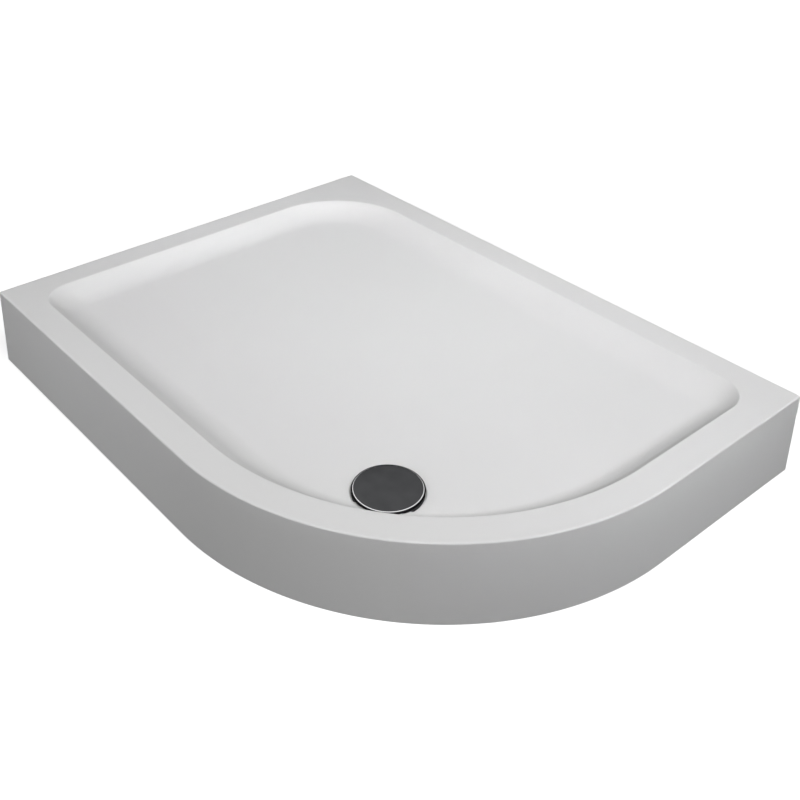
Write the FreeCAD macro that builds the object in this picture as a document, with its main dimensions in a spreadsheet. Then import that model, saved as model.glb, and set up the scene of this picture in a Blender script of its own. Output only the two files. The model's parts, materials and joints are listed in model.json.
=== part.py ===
import FreeCAD, Part
import math
import os
import re
import Sketcher

# Shower tray: an offset quadrant acrylic tray with its own front skirt, on a
# backing board, three steel leg rails, six screw feet and a 90 mm waste trap.
# Millimetres, +Z up, +X along the length. The two straight wall sides are
# -X and +Y; the curved front corner faces +X and -Y. The origin lies on the
# floor under the middle of the footprint.

DIMENSIONS = [
    # Tray
    ("tray_length", 1200, "footprint along X, at the foot of the skirt"),
    ("tray_width", 900, "footprint along Y, at the foot of the skirt"),
    ("rim_height", 150, "floor to the top of the rim"),
    ("skirt_flare", 14, "how far the skirt's foot stands outside the rim"),
    ("front_radius", 524, "plan radius of the curved front at the rim"),
    ("corner_radius", 4, "plan radius of the three square corners"),
    ("rim_width", 55, "flat rim round the basin"),
    ("basin_depth", 28, "rim down to the floor along the wall sides"),
    ("floor_fall", 6, "fall of the floor from the wall sides to the waste"),
    ("foot_dip", 1, "how far the wall fillet dips under the lowest floor"),
    ("wall_slope", 45, "basin wall against the floor, degrees"),
    ("wall_fillet", 40, "hollow radius where the basin wall meets the floor"),
    ("floor_back_radius", 126, "plan radius of the floor's back corner"),
    ("floor_corner_radius", 8, "plan radius of the floor's two small corners"),
    ("rim_inner_round", 8, "rounding of the rim's inner edge"),
    ("rim_outer_round", 3, "rounding of the rim's outer edge"),
    ("acrylic", 4, "thickness of the acrylic sheet"),
    ("flange_depth", 40, "depth of the turned down edge on the wall sides"),
    ("corner_return", 40, "how far the skirt runs on round the wall sides"),
    ("overshoot", 10, "how far cutting tools run past what they cut"),
    # Backing
    ("bond_gap", 0.2, "glue line between bonded layers"),
    ("laminate", 3, "thickness of the glass fibre laminate"),
    ("laminate_lift", 10, "bare edge of acrylic under the laminate"),
    ("laminate_margin", 5, "laminate's edge back from the open wall sides"),
    ("laminate_hole_gap", 0.5, "laminate's hole round its own hollow at the waste"),
    ("board_thick", 16, "thickness of the chipboard"),
    ("board_inset", 112, "rim's outer edge to the edge of the board"),
    ("trap_room", 18, "board's cut-out round the trap and past the outlet"),
    ("outlet_room", 5, "board's slot beside the outlet nut"),
    ("stud_room", 2, "board's hole round the foot stud, radial"),
    ("pilot_gap", 0.05, "board's hole round the rail screw, radial"),
    ("pilot_spare", 0.5, "board's hole past the end of the rail screw"),
    # Leg rails and screw feet
    ("rail_width", 40, "leg rail across the flanges"),
    ("rail_height", 20, "leg rail's flange height"),
    ("rail_wall", 2, "leg rail's sheet thickness"),
    ("rail_overhang", 50, "rail end beyond the foot"),
    ("rail_from_left", 180, "left wall side to the left rail"),
    ("rail_from_waste", 190, "middle rail to the waste"),
    ("rail_from_right", 146, "rim's right edge to the right rail"),
    ("feet_from_back", 170, "back wall side to the back feet"),
    ("feet_from_front", 171, "rim's front edge to the front feet"),
    ("right_foot_span", 220, "right rail, foot to foot"),
    ("screw_step", 32, "rail screws before and behind each foot"),
    ("screw_diameter", 5, "rail screw shank"),
    ("screw_bite", 12.8, "rail screw's length in the board"),
    ("screw_head_radius", 5, "rail screw's head"),
    ("screw_head_height", 3, "rail screw's head"),
    ("screw_clearance", 0.2, "rail's hole round the screw, radial"),
    ("stud_diameter", 11.8, "foot stud, over the thread"),
    ("thread_clearance", 0.05, "stud to nut, radial"),
    ("stud_clearance", 0.6, "rail's hole round the stud, radial"),
    ("nut_flats", 19, "foot nuts and stud collar across flats"),
    ("nut_height", 10, "foot nuts"),
    ("collar_height", 8, "hexagon collar on the foot stud"),
    ("collar_gap", 2, "pad up to the stud's collar"),
    ("foot_retract", 5, "room for the stud above its place at rest"),
    ("stud_top_gap", 1, "stud to the laminate with the foot drawn in"),
    ("pad_diameter", 50, "foot pad"),
    ("pad_height", 14, "foot pad"),
    ("pad_socket", 5, "floor to the bottom of the pad's socket"),
    ("pad_ring", 4, "width of the ring that the pad stands on"),
    ("pad_hollow", 0.4, "hollow under the pad"),
    ("pad_edge", 3.5, "height of the pad's edge"),
    ("pad_waist_radius", 15, "foot of the pad's neck"),
    ("pad_waist", 8.4, "height of the foot of the pad's neck"),
    ("pad_neck_wall", 5, "pad's neck round the stud"),
    ("slip_gap", 0.3, "radial gap of one piece that slips over another"),
    # Waste and trap
    ("waste_from_rim", 85, "rim's inner edge to the waste, square to the curve"),
    ("waste_angle", 52.2, "direction of the waste from the curve's centre, degrees"),
    ("recess_diameter", 117, "flat recess round the waste"),
    ("recess_depth", 3, "recess under the lowest floor"),
    ("waste_hole", 86, "hole through the tray"),
    ("seal_thick", 1.5, "upper seal"),
    ("body_seal_thick", 3, "lower seal"),
    ("seal_gap", 0.2, "seals' bore outside the hole's edge"),
    ("seal_brim_gap", 1.5, "upper seal's outer edge inside the recess's edge"),
    ("seal_inset", 2, "lower seal's outer edge inside the trap's flange"),
    ("flange_diameter", 112, "waste flange"),
    ("flange_thick", 2.5, "waste flange"),
    ("flange_bevel", 1, "waste flange's edge"),
    ("sleeve_radius", 40, "flange sleeve, over the thread"),
    ("sleeve_wall", 4, "flange sleeve"),
    ("sleeve_drop", 21, "recess down to the end of the sleeve"),
    ("shoulder_height", 8, "shoulder in the sleeve that carries the insert"),
    ("shoulder_width", 4, "shoulder in the sleeve that carries the insert"),
    ("trap_drop", 87, "tray's underside to the bottom of the trap"),
    ("trap_radius", 49, "trap cup, outside"),
    ("trap_wall", 3, "trap cup"),
    ("trap_flange_thick", 4, "trap's top flange"),
    ("trap_flange_radius", 58, "trap's top flange"),
    ("cup_bevel", 4, "trap cup's lower edge"),
    ("cup_land", 4, "outlet down to the weld between the trap's body and its bottom"),
    ("collar_clearance", 0.15, "sleeve in the trap's collar, radial"),
    ("collar_spare", 1, "trap's collar below the end of the sleeve"),
    ("collar_taper", 4, "taper from the trap's collar to the cup"),
    ("outlet_rise", 48, "bottom of the trap up to the outlet's axis"),
    ("outlet_reach", 100, "trap's axis to the end of the outlet"),
    ("outlet_depth", 35, "depth of the outlet's socket"),
    ("pipe_radius", 20, "waste pipe that the outlet takes"),
    ("pipe_clearance", 0.2, "outlet socket to pipe, radial"),
    ("outlet_wall", 3.8, "outlet socket"),
    ("outlet_stop", 2.2, "stop at the inner end of the outlet's socket"),
    ("outlet_nut_length", 24, "outlet nut"),
    ("outlet_nut_wall", 6.7, "outlet nut"),
    ("outlet_nut_lip", 3, "outlet nut's end past the seal"),
    ("outlet_nut_bevel", 2, "outlet nut's outer edge"),
    ("outlet_nut_clearance", 0.8, "outlet nut's mouth round the socket's bore, radial"),
    ("outlet_seal_length", 5, "outlet seal"),
    ("outlet_seal_gap", 0.5, "outlet seal's bore round the socket's bore, radial"),
    ("outlet_seal_slack", 0.1, "outlet seal short of its room at each end"),
    ("insert_clearance", 0.3, "insert's head in the sleeve, radial"),
    ("insert_head", 10, "height of the insert's head"),
    ("insert_wall", 2.5, "insert's dip tube"),
    ("insert_lift_gap", 6, "dip tube over the cup's bottom"),
    ("tube_clearance", 0.5, "dip tube in the sleeve's shoulder, radial"),
    ("hub_wall", 3, "hubs of the insert and of the cover's carrier"),
    ("hub_spare", 3, "insert's hub below the end of the stem"),
    ("spoke_thick", 3, "insert's spokes"),
    ("ring_section", 2.4, "insert's sealing ring"),
    ("ring_proud", 0.1, "sealing ring's groove less deep than the ring"),
    ("ring_slack", 0.5, "sealing ring's groove wider at each side"),
    ("ring_lift", 0.03, "sealing ring off the bottom of its groove"),
    ("cover_diameter", 110, "waste cover"),
    ("cover_thick", 1.6, "waste cover"),
    ("cover_rise", 2.8, "crown of the waste cover over its edge"),
    ("cover_gap", 2.5, "flange up to the cover's lip"),
    ("cover_lip", 3.7, "height of the cover's lip"),
    ("cover_round", 1.28, "rounding of the cover's edge"),
    ("carrier_reach", 10, "carrier's arms past the sleeve's bore"),
    ("arm_thick", 3, "carrier's arms"),
    ("hub_gap", 0.15, "carrier's hub under the cover"),
    ("stem_radius", 4, "cover's stem"),
    ("stem_clearance", 0.15, "stem in the insert's hub, radial"),
    ("stem_drop", 16, "flange's top down to the end of the stem"),
    ("joint_overlap", 1, "how far fused members run into each other"),
]

ALIASES = [row[0] for row in DIMENSIONS]
ALIAS_WORD = re.compile(r"\b(" + "|".join(sorted(ALIASES, key=len, reverse=True)) + r")\b")

doc = FreeCAD.newDocument("ShowerTray")
sheet = doc.addObject("Spreadsheet::Sheet", "Dim")
for row, (alias, value, meaning) in enumerate(DIMENSIONS, start=1):
    sheet.set(f"A{row}", alias)
    sheet.set(f"B{row}", str(value))
    sheet.setAlias(f"B{row}", alias)
    sheet.set(f"C{row}", meaning)
doc.recompute()

# Places worked out from the driving dimensions
LEFT = "(-tray_length/2)"
BACK = "(tray_width/2)"
RIM_RIGHT = "(tray_length/2 - skirt_flare)"
RIM_FRONT = "(-tray_width/2 + skirt_flare)"
WASTE_FLOOR_Z = "(rim_height - basin_depth - floor_fall)"
DIP_Z = f"({WASTE_FLOOR_Z} - foot_dip)"
WALL_RUN = ("((basin_depth + floor_fall + foot_dip)/tan(wall_slope*1deg)"
            " + wall_fillet*tan(wall_slope*0.5deg))")
FOOT_OFFSET = f"(rim_width + {WALL_RUN})"
WASTE_REACH = "(front_radius - rim_width - waste_from_rim)"
WASTE_X = f"({RIM_RIGHT} - front_radius + {WASTE_REACH}*cos(waste_angle*1deg))"
WASTE_Y = f"({RIM_FRONT} + front_radius - {WASTE_REACH}*sin(waste_angle*1deg))"
RECESS_Z = f"({WASTE_FLOOR_Z} - recess_depth)"
UNDER_Z = f"({RECESS_Z} - acrylic)"
LAMINATE_Z = f"({WASTE_FLOOR_Z} - acrylic - bond_gap - laminate)"
BOARD_TOP = f"({LAMINATE_Z} - bond_gap)"
BOARD_LOW = f"({BOARD_TOP} - board_thick)"
WEB_LOW = f"({BOARD_LOW} - rail_wall)"
FLANGE_TOP = f"({RECESS_Z} + seal_thick + flange_thick)"
SLEEVE_LOW = f"({RECESS_Z} - sleeve_drop)"
SHOULDER_Z = f"({SLEEVE_LOW} + shoulder_height)"
TRAP_TOP = f"({UNDER_Z} - body_seal_thick)"
TRAP_LOW = f"({UNDER_Z} - trap_drop)"
OUTLET_Z = f"({TRAP_LOW} + outlet_rise)"
SOCKET_RADIUS = "(pipe_radius + pipe_clearance)"
OUTLET_RADIUS = f"({SOCKET_RADIUS} + outlet_wall)"


def bound(text):
    """An expression over the sheet's cells, from one that names them plainly."""
    return ALIAS_WORD.sub(r"Dim.\1", text)


def number(text):
    """The value of an expression now."""
    return float(sheet.evalExpression(text))


def bind(obj, prop, text):
    obj.setExpression(prop, bound(text))


def new_body(name):
    return doc.addObject("PartDesign::Body", name)


def sketch_on(body, name, role, offset="0"):
    """A sketch on one of the body's own planes, moved along its normal."""
    sketch = body.newObject("Sketcher::SketchObject", name)
    plane = [item for item in body.Origin.OriginFeatures if item.Role == role][0]
    sketch.AttachmentSupport = (plane, [""])
    sketch.MapMode = "FlatFace"
    if offset != "0":
        bind(sketch, "AttachmentOffset.Base.z", offset)
    return sketch


def dimension(sketch, kind, *where, text):
    """A driving constraint bound to an expression."""
    index = sketch.addConstraint(Sketcher.Constraint(kind, *where, number(text)))
    bind(sketch, f"Constraints[{index}]", text)


def place_point(sketch, edge, end, across, along):
    for kind, text, axis in (("DistanceX", across, -2), ("DistanceY", along, -1)):
        if text == "0":
            sketch.addConstraint(Sketcher.Constraint("PointOnObject", edge, end, axis))
        else:
            dimension(sketch, kind, -1, 1, edge, end, text=text)


def outline(body, name, role, corners, arcs=None, offset="0"):
    """A closed outline; arcs holds (radius, side of the bulge) for the edge after a corner."""
    sketch = sketch_on(body, name, role, offset)
    points = [FreeCAD.Vector(number(across), number(along), 0) for across, along in corners]
    count = len(points)
    arcs = arcs or {}
    ends = []
    for edge in range(count):
        start = points[edge]
        end = points[(edge + 1) % count]
        if edge not in arcs:
            sketch.addGeometry(Part.LineSegment(start, end), False)
            ends.append((1, 2))
            continue
        radius = number(arcs[edge][0])
        side = arcs[edge][1]
        chord = end - start
        across = FreeCAD.Vector(-chord.y, chord.x, 0).normalize()
        rise = math.sqrt(radius ** 2 - chord.Length ** 2 / 4)
        centre = (start + end) * 0.5 - across * (side * rise)
        circle = Part.Circle(centre, FreeCAD.Vector(0, 0, 1), radius)
        first, last = (start, end) if side < 0 else (end, start)
        turn = [math.atan2(point.y - centre.y, point.x - centre.x) for point in (first, last)]
        if turn[1] < turn[0]:
            turn[1] += 2 * math.pi
        sketch.addGeometry(Part.ArcOfCircle(circle, turn[0], turn[1]), False)
        ends.append((1, 2) if side < 0 else (2, 1))
    for edge in range(count):
        follower = (edge + 1) % count
        meeting = Sketcher.Constraint("Coincident", edge, ends[edge][1], follower, ends[follower][0])
        sketch.addConstraint(meeting)
    for edge, (across, along) in enumerate(corners):
        place_point(sketch, edge, ends[edge][0], across, along)
    for edge, (radius, side) in arcs.items():
        dimension(sketch, "Radius", edge, text=radius)
    return sketch


def rounded(body, name, height, left, right, front, back, radii):
    """A rectangle with round corners, from the front left one round by the right."""
    sketch = sketch_on(body, name, "XY_Plane", height)
    x0, x1, y0, y1 = (number(text) for text in (left, right, front, back))
    radius = [number(text) for text in radii]
    vector = FreeCAD.Vector
    corners = [vector(x0, y0, 0), vector(x1, y0, 0), vector(x1, y1, 0), vector(x0, y1, 0)]
    ways = [vector(1, 0, 0), vector(0, 1, 0), vector(-1, 0, 0), vector(0, -1, 0)]
    sides = []
    curves = {}
    chain = []
    for side in range(4):
        following = (side + 1) % 4
        start = corners[side] + ways[side] * radius[side]
        end = corners[following] - ways[side] * radius[following]
        sides.append(sketch.addGeometry(Part.LineSegment(start, end), False))
        chain.append(sides[-1])
        centre = end + ways[following] * radius[following]
        circle = Part.Circle(centre, vector(0, 0, 1), radius[following])
        first = (side + 3) * math.pi / 2
        arc = Part.ArcOfCircle(circle, first, first + math.pi / 2)
        curves[following] = sketch.addGeometry(arc, False)
        chain.append(curves[following])
    for place, edge in enumerate(chain):
        follower = chain[(place + 1) % len(chain)]
        sketch.addConstraint(Sketcher.Constraint("Tangent", edge, 2, follower, 1))
    for side, way in zip(sides, ("Horizontal", "Vertical", "Horizontal", "Vertical")):
        sketch.addConstraint(Sketcher.Constraint(way, side))
    for corner, edge in curves.items():
        dimension(sketch, "Radius", edge, text=radii[corner])
    for side, kind, text in zip(sides, ("DistanceY", "DistanceX", "DistanceY", "DistanceX"),
                                (front, right, back, left)):
        dimension(sketch, kind, -1, 1, side, 1, text=text)
    return sketch


def pad(body, sketch, length, reverse=False):
    feature = body.newObject("PartDesign::Pad", sketch.Name + "_pad")
    feature.Profile = sketch
    feature.Reversed = reverse
    bind(feature, "Length", length)
    return feature


def through_pocket(body, sketch):
    """A cut through everything, both ways from the sketch."""
    feature = body.newObject("PartDesign::Pocket", sketch.Name + "_pocket")
    feature.Profile = sketch
    feature.Type = "ThroughAll"
    feature.Midplane = True
    return feature


def revolved(name, corners, arcs=None):
    """A turned piece about Z from its half section, as (radius, height) corners."""
    body = new_body(name)
    profile = outline(body, name + "_section", "XZ_Plane", corners, arcs)
    turn = body.newObject("PartDesign::Revolution", name + "_turn")
    turn.Profile = profile
    turn.ReferenceAxis = (profile, ["V_Axis"])
    turn.Angle = 360
    return body


def ring(name, inner, outer, low, top):
    return revolved(name, [(inner, low), (outer, low), (outer, top), (inner, top)])


def move(obj, x="0", y="0", z="0"):
    for axis, text in zip("xyz", (x, y, z)):
        if text != "0":
            bind(obj, f"Placement.Base.{axis}", text)
    return obj


def cylinder(name, radius, height, x="0", y="0", z="0"):
    piece = doc.addObject("Part::Cylinder", name)
    bind(piece, "Radius", radius)
    bind(piece, "Height", height)
    return move(piece, x, y, z)


def box(name, length, width, height, x="0", y="0", z="0"):
    piece = doc.addObject("Part::Box", name)
    bind(piece, "Length", length)
    bind(piece, "Width", width)
    bind(piece, "Height", height)
    return move(piece, x, y, z)


def hexagon(name, flats, height, x="0", y="0", z="0"):
    piece = doc.addObject("Part::Prism", name)
    piece.Polygon = 6
    bind(piece, "Circumradius", f"({flats})/2/cos(30deg)")
    bind(piece, "Height", height)
    return move(piece, x, y, z)


def join(name, pieces):
    fuse = doc.addObject("Part::MultiFuse", name)
    fuse.Shapes = pieces
    return fuse


def cut(name, base, tool):
    piece = doc.addObject("Part::Cut", name)
    piece.Base = base
    piece.Tool = tool
    return piece


def edges_where(shape, wanted):
    """Names of the edges that wanted accepts, by their middle, lowest and highest point."""
    names = []
    for index, edge in enumerate(shape.Edges, start=1):
        middle = edge.valueAt((edge.FirstParameter + edge.LastParameter) / 2)
        if wanted(middle, edge.BoundBox.ZMin, edge.BoundBox.ZMax):
            names.append(f"Edge{index}")
    return names


def edges_at(shape, height, wanted=lambda place: True):
    """Names of the edges that lie level at one height."""
    def level(place, low, high):
        return abs(low - height) < 1e-4 and abs(high - height) < 1e-4 and wanted(place)
    return edges_where(shape, level)


def rounded_edges(body, names, radius):
    base = body.Tip
    feature = body.newObject("PartDesign::Fillet", base.Name + "_round")
    feature.Base = (base, names)
    bind(feature, "Radius", radius)
    return feature


# Tray forms: a block for the outside and a plug for the basin, each grown or
# shrunk by one inset, so that every layer of the tray nests in the one above
def tray_block(name, inset):
    body = new_body(name)
    lean = "skirt_flare/rim_height"
    top = f"(rim_height - {inset})"
    over = "(rim_height + overshoot)"
    under = "(-overshoot)"
    front = f"(-tray_width/2 + {inset})"
    right = f"(tray_length/2 - {inset})"
    curve = f"(front_radius + skirt_flare - {inset})"
    back = f"({BACK} - {inset})"
    section = outline(body, name + "_section", "YZ_Plane", [
        (front, "0"), (back, "0"), (back, top), (f"{front} + {top}*{lean}", top),
    ], offset=f"{LEFT} + {inset}")
    pad(body, section, f"tray_length - 2*{inset}")
    side = outline(body, name + "_right", "XZ_Plane", [
        (f"{right} - {under}*{lean}", under), (f"{right} - {over}*{lean}", over),
        (f"{right} + 5*overshoot", over), (f"{right} + 5*overshoot", under),
    ])
    through_pocket(body, side)
    bend = outline(body, name + "_curve", "XZ_Plane", [
        (f"{curve} - {under}*{lean}", under), (f"{curve} - {over}*{lean}", over),
        (f"2*{curve}", over), (f"2*{curve}", under),
    ], offset=f"-({RIM_FRONT} + front_radius)")
    bind(bend, "AttachmentOffset.Base.x", f"{RIM_RIGHT} - front_radius")
    groove = body.newObject("PartDesign::Groove", name + "_groove")
    groove.Profile = bend
    groove.ReferenceAxis = (bend, ["V_Axis"])
    groove.Angle = 90
    groove.Reversed = True
    doc.recompute()
    inner_corner = f"corner_radius*corner_radius/(corner_radius + {inset})"
    rounded_edges(body, edges_where(groove.Shape, is_square_corner), inner_corner)
    return body


def is_square_corner(place, low, high):
    """Whether an edge stands at one of the three square corners, not where the curve begins."""
    near = 0.9
    return (high > low + 1
            and abs(place.x) > near * number("tray_length/2 - skirt_flare")
            and abs(place.y) > near * number("tray_width/2 - skirt_flare"))


def basin_foot(body, name, inset):
    """The line where the basin wall's hollow runs out into the floor."""
    corner = "floor_corner_radius"
    return rounded(body, name, f"{DIP_Z} - {inset}",
                   f"{LEFT} + {FOOT_OFFSET}", f"{RIM_RIGHT} - {FOOT_OFFSET}",
                   f"{RIM_FRONT} + {FOOT_OFFSET}", f"{BACK} - {FOOT_OFFSET}",
                   (corner, f"front_radius - {FOOT_OFFSET}", corner, "floor_back_radius"))


def basin_plug(name, inset, sloped=True):
    body = new_body(name)
    low = f"({DIP_Z} - {inset})"
    high = "(rim_height + overshoot/2)"
    foot_x = f"({LEFT} + {FOOT_OFFSET})"
    hollow = f"(wall_fillet + {inset})"
    core = basin_foot(body, name + "_core", inset)
    pad(body, core, f"{high} - {low}")
    path = basin_foot(body, name + "_path", inset)
    wall_x = f"({foot_x} - {hollow}*sin(wall_slope*1deg))"
    wall_z = f"({DIP_Z} + wall_fillet - {hollow}*cos(wall_slope*1deg))"
    inner_x = f"({foot_x} + floor_corner_radius/2)"
    section = outline(body, name + "_wall", "XZ_Plane", [
        (inner_x, low),
        (foot_x, low),
        (wall_x, wall_z),
        (f"{wall_x} - ({high} - {wall_z})/tan(wall_slope*1deg)", high),
        (inner_x, high),
    ], {1: (hollow, 1)})
    sweep = body.newObject("PartDesign::AdditivePipe", name + "_sweep")
    sweep.Profile = section
    sweep.Spine = (path, [f"Edge{edge + 1}" for edge in range(8)])
    floor = f"({WASTE_FLOOR_Z} - {inset})"
    deep = f"({floor} - 5*overshoot)"
    fall_left = f"(floor_fall/({WASTE_X} - {LEFT} - {FOOT_OFFSET}))"
    fall_back = f"(floor_fall/({BACK} - {FOOT_OFFSET} - {WASTE_Y}))"
    slope_left = f"{floor} + {fall_left}*({WASTE_X} + tray_length)" if sloped else floor
    under = outline(body, name + "_floor", "XZ_Plane", [
        ("-tray_length", slope_left),
        (WASTE_X, floor),
        ("tray_length", floor),
        ("tray_length", deep),
        ("-tray_length", deep),
    ])
    through_pocket(body, under)
    if sloped:
        back = outline(body, name + "_fall", "YZ_Plane", [
            ("tray_width", f"{floor} + {fall_back}*(tray_width - {WASTE_Y})"),
            (WASTE_Y, floor),
            (WASTE_Y, deep),
            ("tray_width", deep),
        ])
        through_pocket(body, back)
    recess_low = f"({RECESS_Z} - {inset})"
    recess = cylinder(name + "_recess", f"recess_diameter/2 + {inset}", f"{high} - {recess_low}",
                      WASTE_X, WASTE_Y, recess_low)
    return join(name + "_with_recess", [body, recess])


print("tray")
skin = tray_block("tray_skin", "0")
doc.recompute()
rim_level = number("rim_height")
rounded_edges(skin, edges_at(skin.Tip.Shape, rim_level), "rim_outer_round")
skin_with_basin = cut("tray_skin_with_basin", skin, basin_plug("basin", "0"))
doc.recompute()

# Rim's inner edge, rounded over
inner_edge = new_body("tray_top")
inner_edge.BaseFeature = skin_with_basin
doc.recompute()
inside = number("rim_width") - number("rim_outer_round")


def is_basin_edge(place):
    across = min(place.x - number(LEFT), number(BACK) - place.y,
                 number(RIM_RIGHT) - place.x, place.y - number(RIM_FRONT))
    return across > inside / 2


rounded_edges(inner_edge, edges_at(inner_edge.Tip.Shape, rim_level, is_basin_edge), "rim_inner_round")

under_skin = cut("tray_under_skin", tray_block("under_skin", "acrylic"),
                 basin_plug("under_basin", "acrylic"))


def wall_windows(name, depth, margin):
    """The open wall sides under the turned down edge."""
    high = f"rim_height - flange_depth + {margin} + overshoot"
    deep = f"({depth} + overshoot)"
    reach = f"({depth} + corner_radius + overshoot)"
    along_left = f"tray_width - corner_return - {margin} + overshoot"
    along_back = f"tray_length - corner_return - {margin} + overshoot"
    outside_x = f"({LEFT} - overshoot)"
    outside_y = f"({BACK} + overshoot)"
    start_y = f"-tray_width/2 + corner_return + {margin}"
    return [
        box(name + "_left", deep, along_left, high, outside_x, start_y, "-overshoot"),
        box(name + "_back", along_back, deep, high, outside_x, f"{outside_y} - {deep}", "-overshoot"),
        box(name + "_corner", reach, reach, high, outside_x, f"{outside_y} - {reach}", "-overshoot"),
    ]


waste_cut = cylinder("waste_cut", "waste_hole/2", "rim_height", WASTE_X, WASTE_Y, "0")
shell_windows = wall_windows("shell_window", "(acrylic + bond_gap/2)", "0")
shell_openings = join("shell_openings", [under_skin, waste_cut] + shell_windows)
tray_shell = cut("tray_shell", inner_edge, shell_openings)

print("backing")
OUTER_INSET = "(acrylic + bond_gap)"
INNER_INSET = "(acrylic + bond_gap + laminate)"
laminate_top = cut("laminate_top", tray_block("laminate_block", OUTER_INSET),
                   basin_plug("laminate_basin", OUTER_INSET))
laminate_low = cut("laminate_low", tray_block("laminate_core", INNER_INSET),
                   basin_plug("laminate_floor", INNER_INSET, sloped=False))
LAMINATE_HOLE = f"(recess_diameter/2 + {INNER_INSET} + laminate_hole_gap)"
laminate_hole = cylinder("laminate_hole", LAMINATE_HOLE, f"rim_height - {OUTER_INSET} - laminate/2",
                         WASTE_X, WASTE_Y, "0")
laminate_edge = box("laminate_edge", "tray_length", "tray_width", "laminate_lift",
                    LEFT, "-tray_width/2", "0")
laminate_windows = wall_windows("laminate_window", f"({INNER_INSET} + joint_overlap)", "laminate_margin")
laminate_openings = join("laminate_openings", [laminate_low, laminate_hole, laminate_edge] + laminate_windows)
glass_fibre_laminate = cut("glass_fibre_laminate", laminate_top, laminate_openings)

# Rails and feet: name, rail's middle, front foot, back foot
BACK_FEET_Y = f"({BACK} - feet_from_back)"
FRONT_FEET_Y = f"({RIM_FRONT} + feet_from_front)"
RAILS = [
    ("left", f"({LEFT} + rail_from_left)", FRONT_FEET_Y, BACK_FEET_Y),
    ("middle", f"({WASTE_X} - rail_from_waste)", FRONT_FEET_Y, BACK_FEET_Y),
    ("right", f"({RIM_RIGHT} - rail_from_right)", f"({BACK_FEET_Y} - right_foot_span)", BACK_FEET_Y),
]
FEET = []
SCREWS = []
for rail_name, rail_x, front_y, back_y in RAILS:
    for end, foot_y in (("front", front_y), ("back", back_y)):
        FEET.append((f"{rail_name}_{end}", rail_x, foot_y))
        for side in ("-", "+"):
            SCREWS.append((rail_x, f"({foot_y} {side} screw_step)"))

board = new_body("board_blank")
board_radius = "board_inset/2"
pad(board, rounded(board, "board_outline", BOARD_LOW,
                   f"{LEFT} + board_inset", f"{RIM_RIGHT} - board_inset",
                   f"{RIM_FRONT} + board_inset", f"{BACK} - board_inset",
                   (board_radius, "front_radius - board_inset", board_radius, "board_inset")), "board_thick")
NUT_BORE = f"({OUTLET_RADIUS} + slip_gap)"
NUT_RADIUS = f"({NUT_BORE} + outlet_nut_wall)"
UNDER_BOARD = f"({BOARD_LOW} - overshoot)"
THROUGH_BOARD = "(board_thick + 2*overshoot)"
SLOT_HALF = f"({NUT_RADIUS} + outlet_room)"
board_holes = [
    cylinder("board_trap_hole", "trap_flange_radius + trap_room", THROUGH_BOARD,
             WASTE_X, WASTE_Y, UNDER_BOARD),
    box("board_outlet_slot", f"2*{SLOT_HALF}", "outlet_reach + trap_room", THROUGH_BOARD,
        f"{WASTE_X} - {SLOT_HALF}", WASTE_Y, UNDER_BOARD),
]
for foot, foot_x, foot_y in FEET:
    board_holes.append(cylinder(f"board_stud_hole_{foot}", "stud_diameter/2 + stud_room", THROUGH_BOARD,
                                foot_x, foot_y, UNDER_BOARD))
PILOT_DEPTH = "(overshoot + screw_bite + pilot_spare)"
for index, (screw_x, screw_y) in enumerate(SCREWS):
    board_holes.append(cylinder(f"board_screw_hole_{index}", "screw_diameter/2 + pilot_gap", PILOT_DEPTH,
                                screw_x, screw_y, UNDER_BOARD))
base_board = cut("base_board", board, join("board_holes", board_holes))

print("legs")
leg_rails = []
UNDER_WEB = f"({WEB_LOW} - overshoot)"
THROUGH_WEB = "(rail_wall + 2*overshoot)"
for rail_name, rail_x, front_y, back_y in RAILS:
    blank = new_body(f"{rail_name}_rail_blank")
    half = "rail_width/2"
    thin = "(rail_width/2 - rail_wall)"
    flange_z = "(-rail_height)"
    section = outline(blank, f"{rail_name}_rail_section", "XZ_Plane", [
        (f"-{half}", "0"), (f"-{half}", flange_z), (f"-{thin}", flange_z),
        (f"-{thin}", "-rail_wall"), (thin, "-rail_wall"),
        (thin, flange_z), (half, flange_z), (half, "0"),
    ])
    pad(blank, section, f"{back_y} - {front_y} + 2*rail_overhang")
    move(blank, rail_x, f"{back_y} + rail_overhang", BOARD_LOW)
    holes = []
    for end, foot_y in (("front", front_y), ("back", back_y)):
        holes.append(cylinder(f"{rail_name}_{end}_stud_way", "stud_diameter/2 + stud_clearance",
                              THROUGH_WEB, rail_x, foot_y, UNDER_WEB))
        for side, word in (("-", "before"), ("+", "behind")):
            holes.append(cylinder(f"{rail_name}_{end}_screw_way_{word}", "screw_diameter/2 + screw_clearance",
                                  THROUGH_WEB, rail_x, f"({foot_y} {side} screw_step)", UNDER_WEB))
    leg_rails.append(cut(f"{rail_name}_leg_rail", blank, join(f"{rail_name}_rail_holes", holes)))

screw_pieces = []
for index, (screw_x, screw_y) in enumerate(SCREWS):
    head = cylinder(f"screw_head_{index}", "screw_head_radius", "screw_head_height",
                    screw_x, screw_y, f"{WEB_LOW} - screw_head_height")
    shank = cylinder(f"screw_shank_{index}", "screw_diameter/2", "rail_wall + screw_bite",
                     screw_x, screw_y, WEB_LOW)
    screw_pieces += [head, shank]
rail_screws = join("rail_screws", screw_pieces)

STUD_WAY = "(stud_diameter/2 + thread_clearance)"


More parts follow.
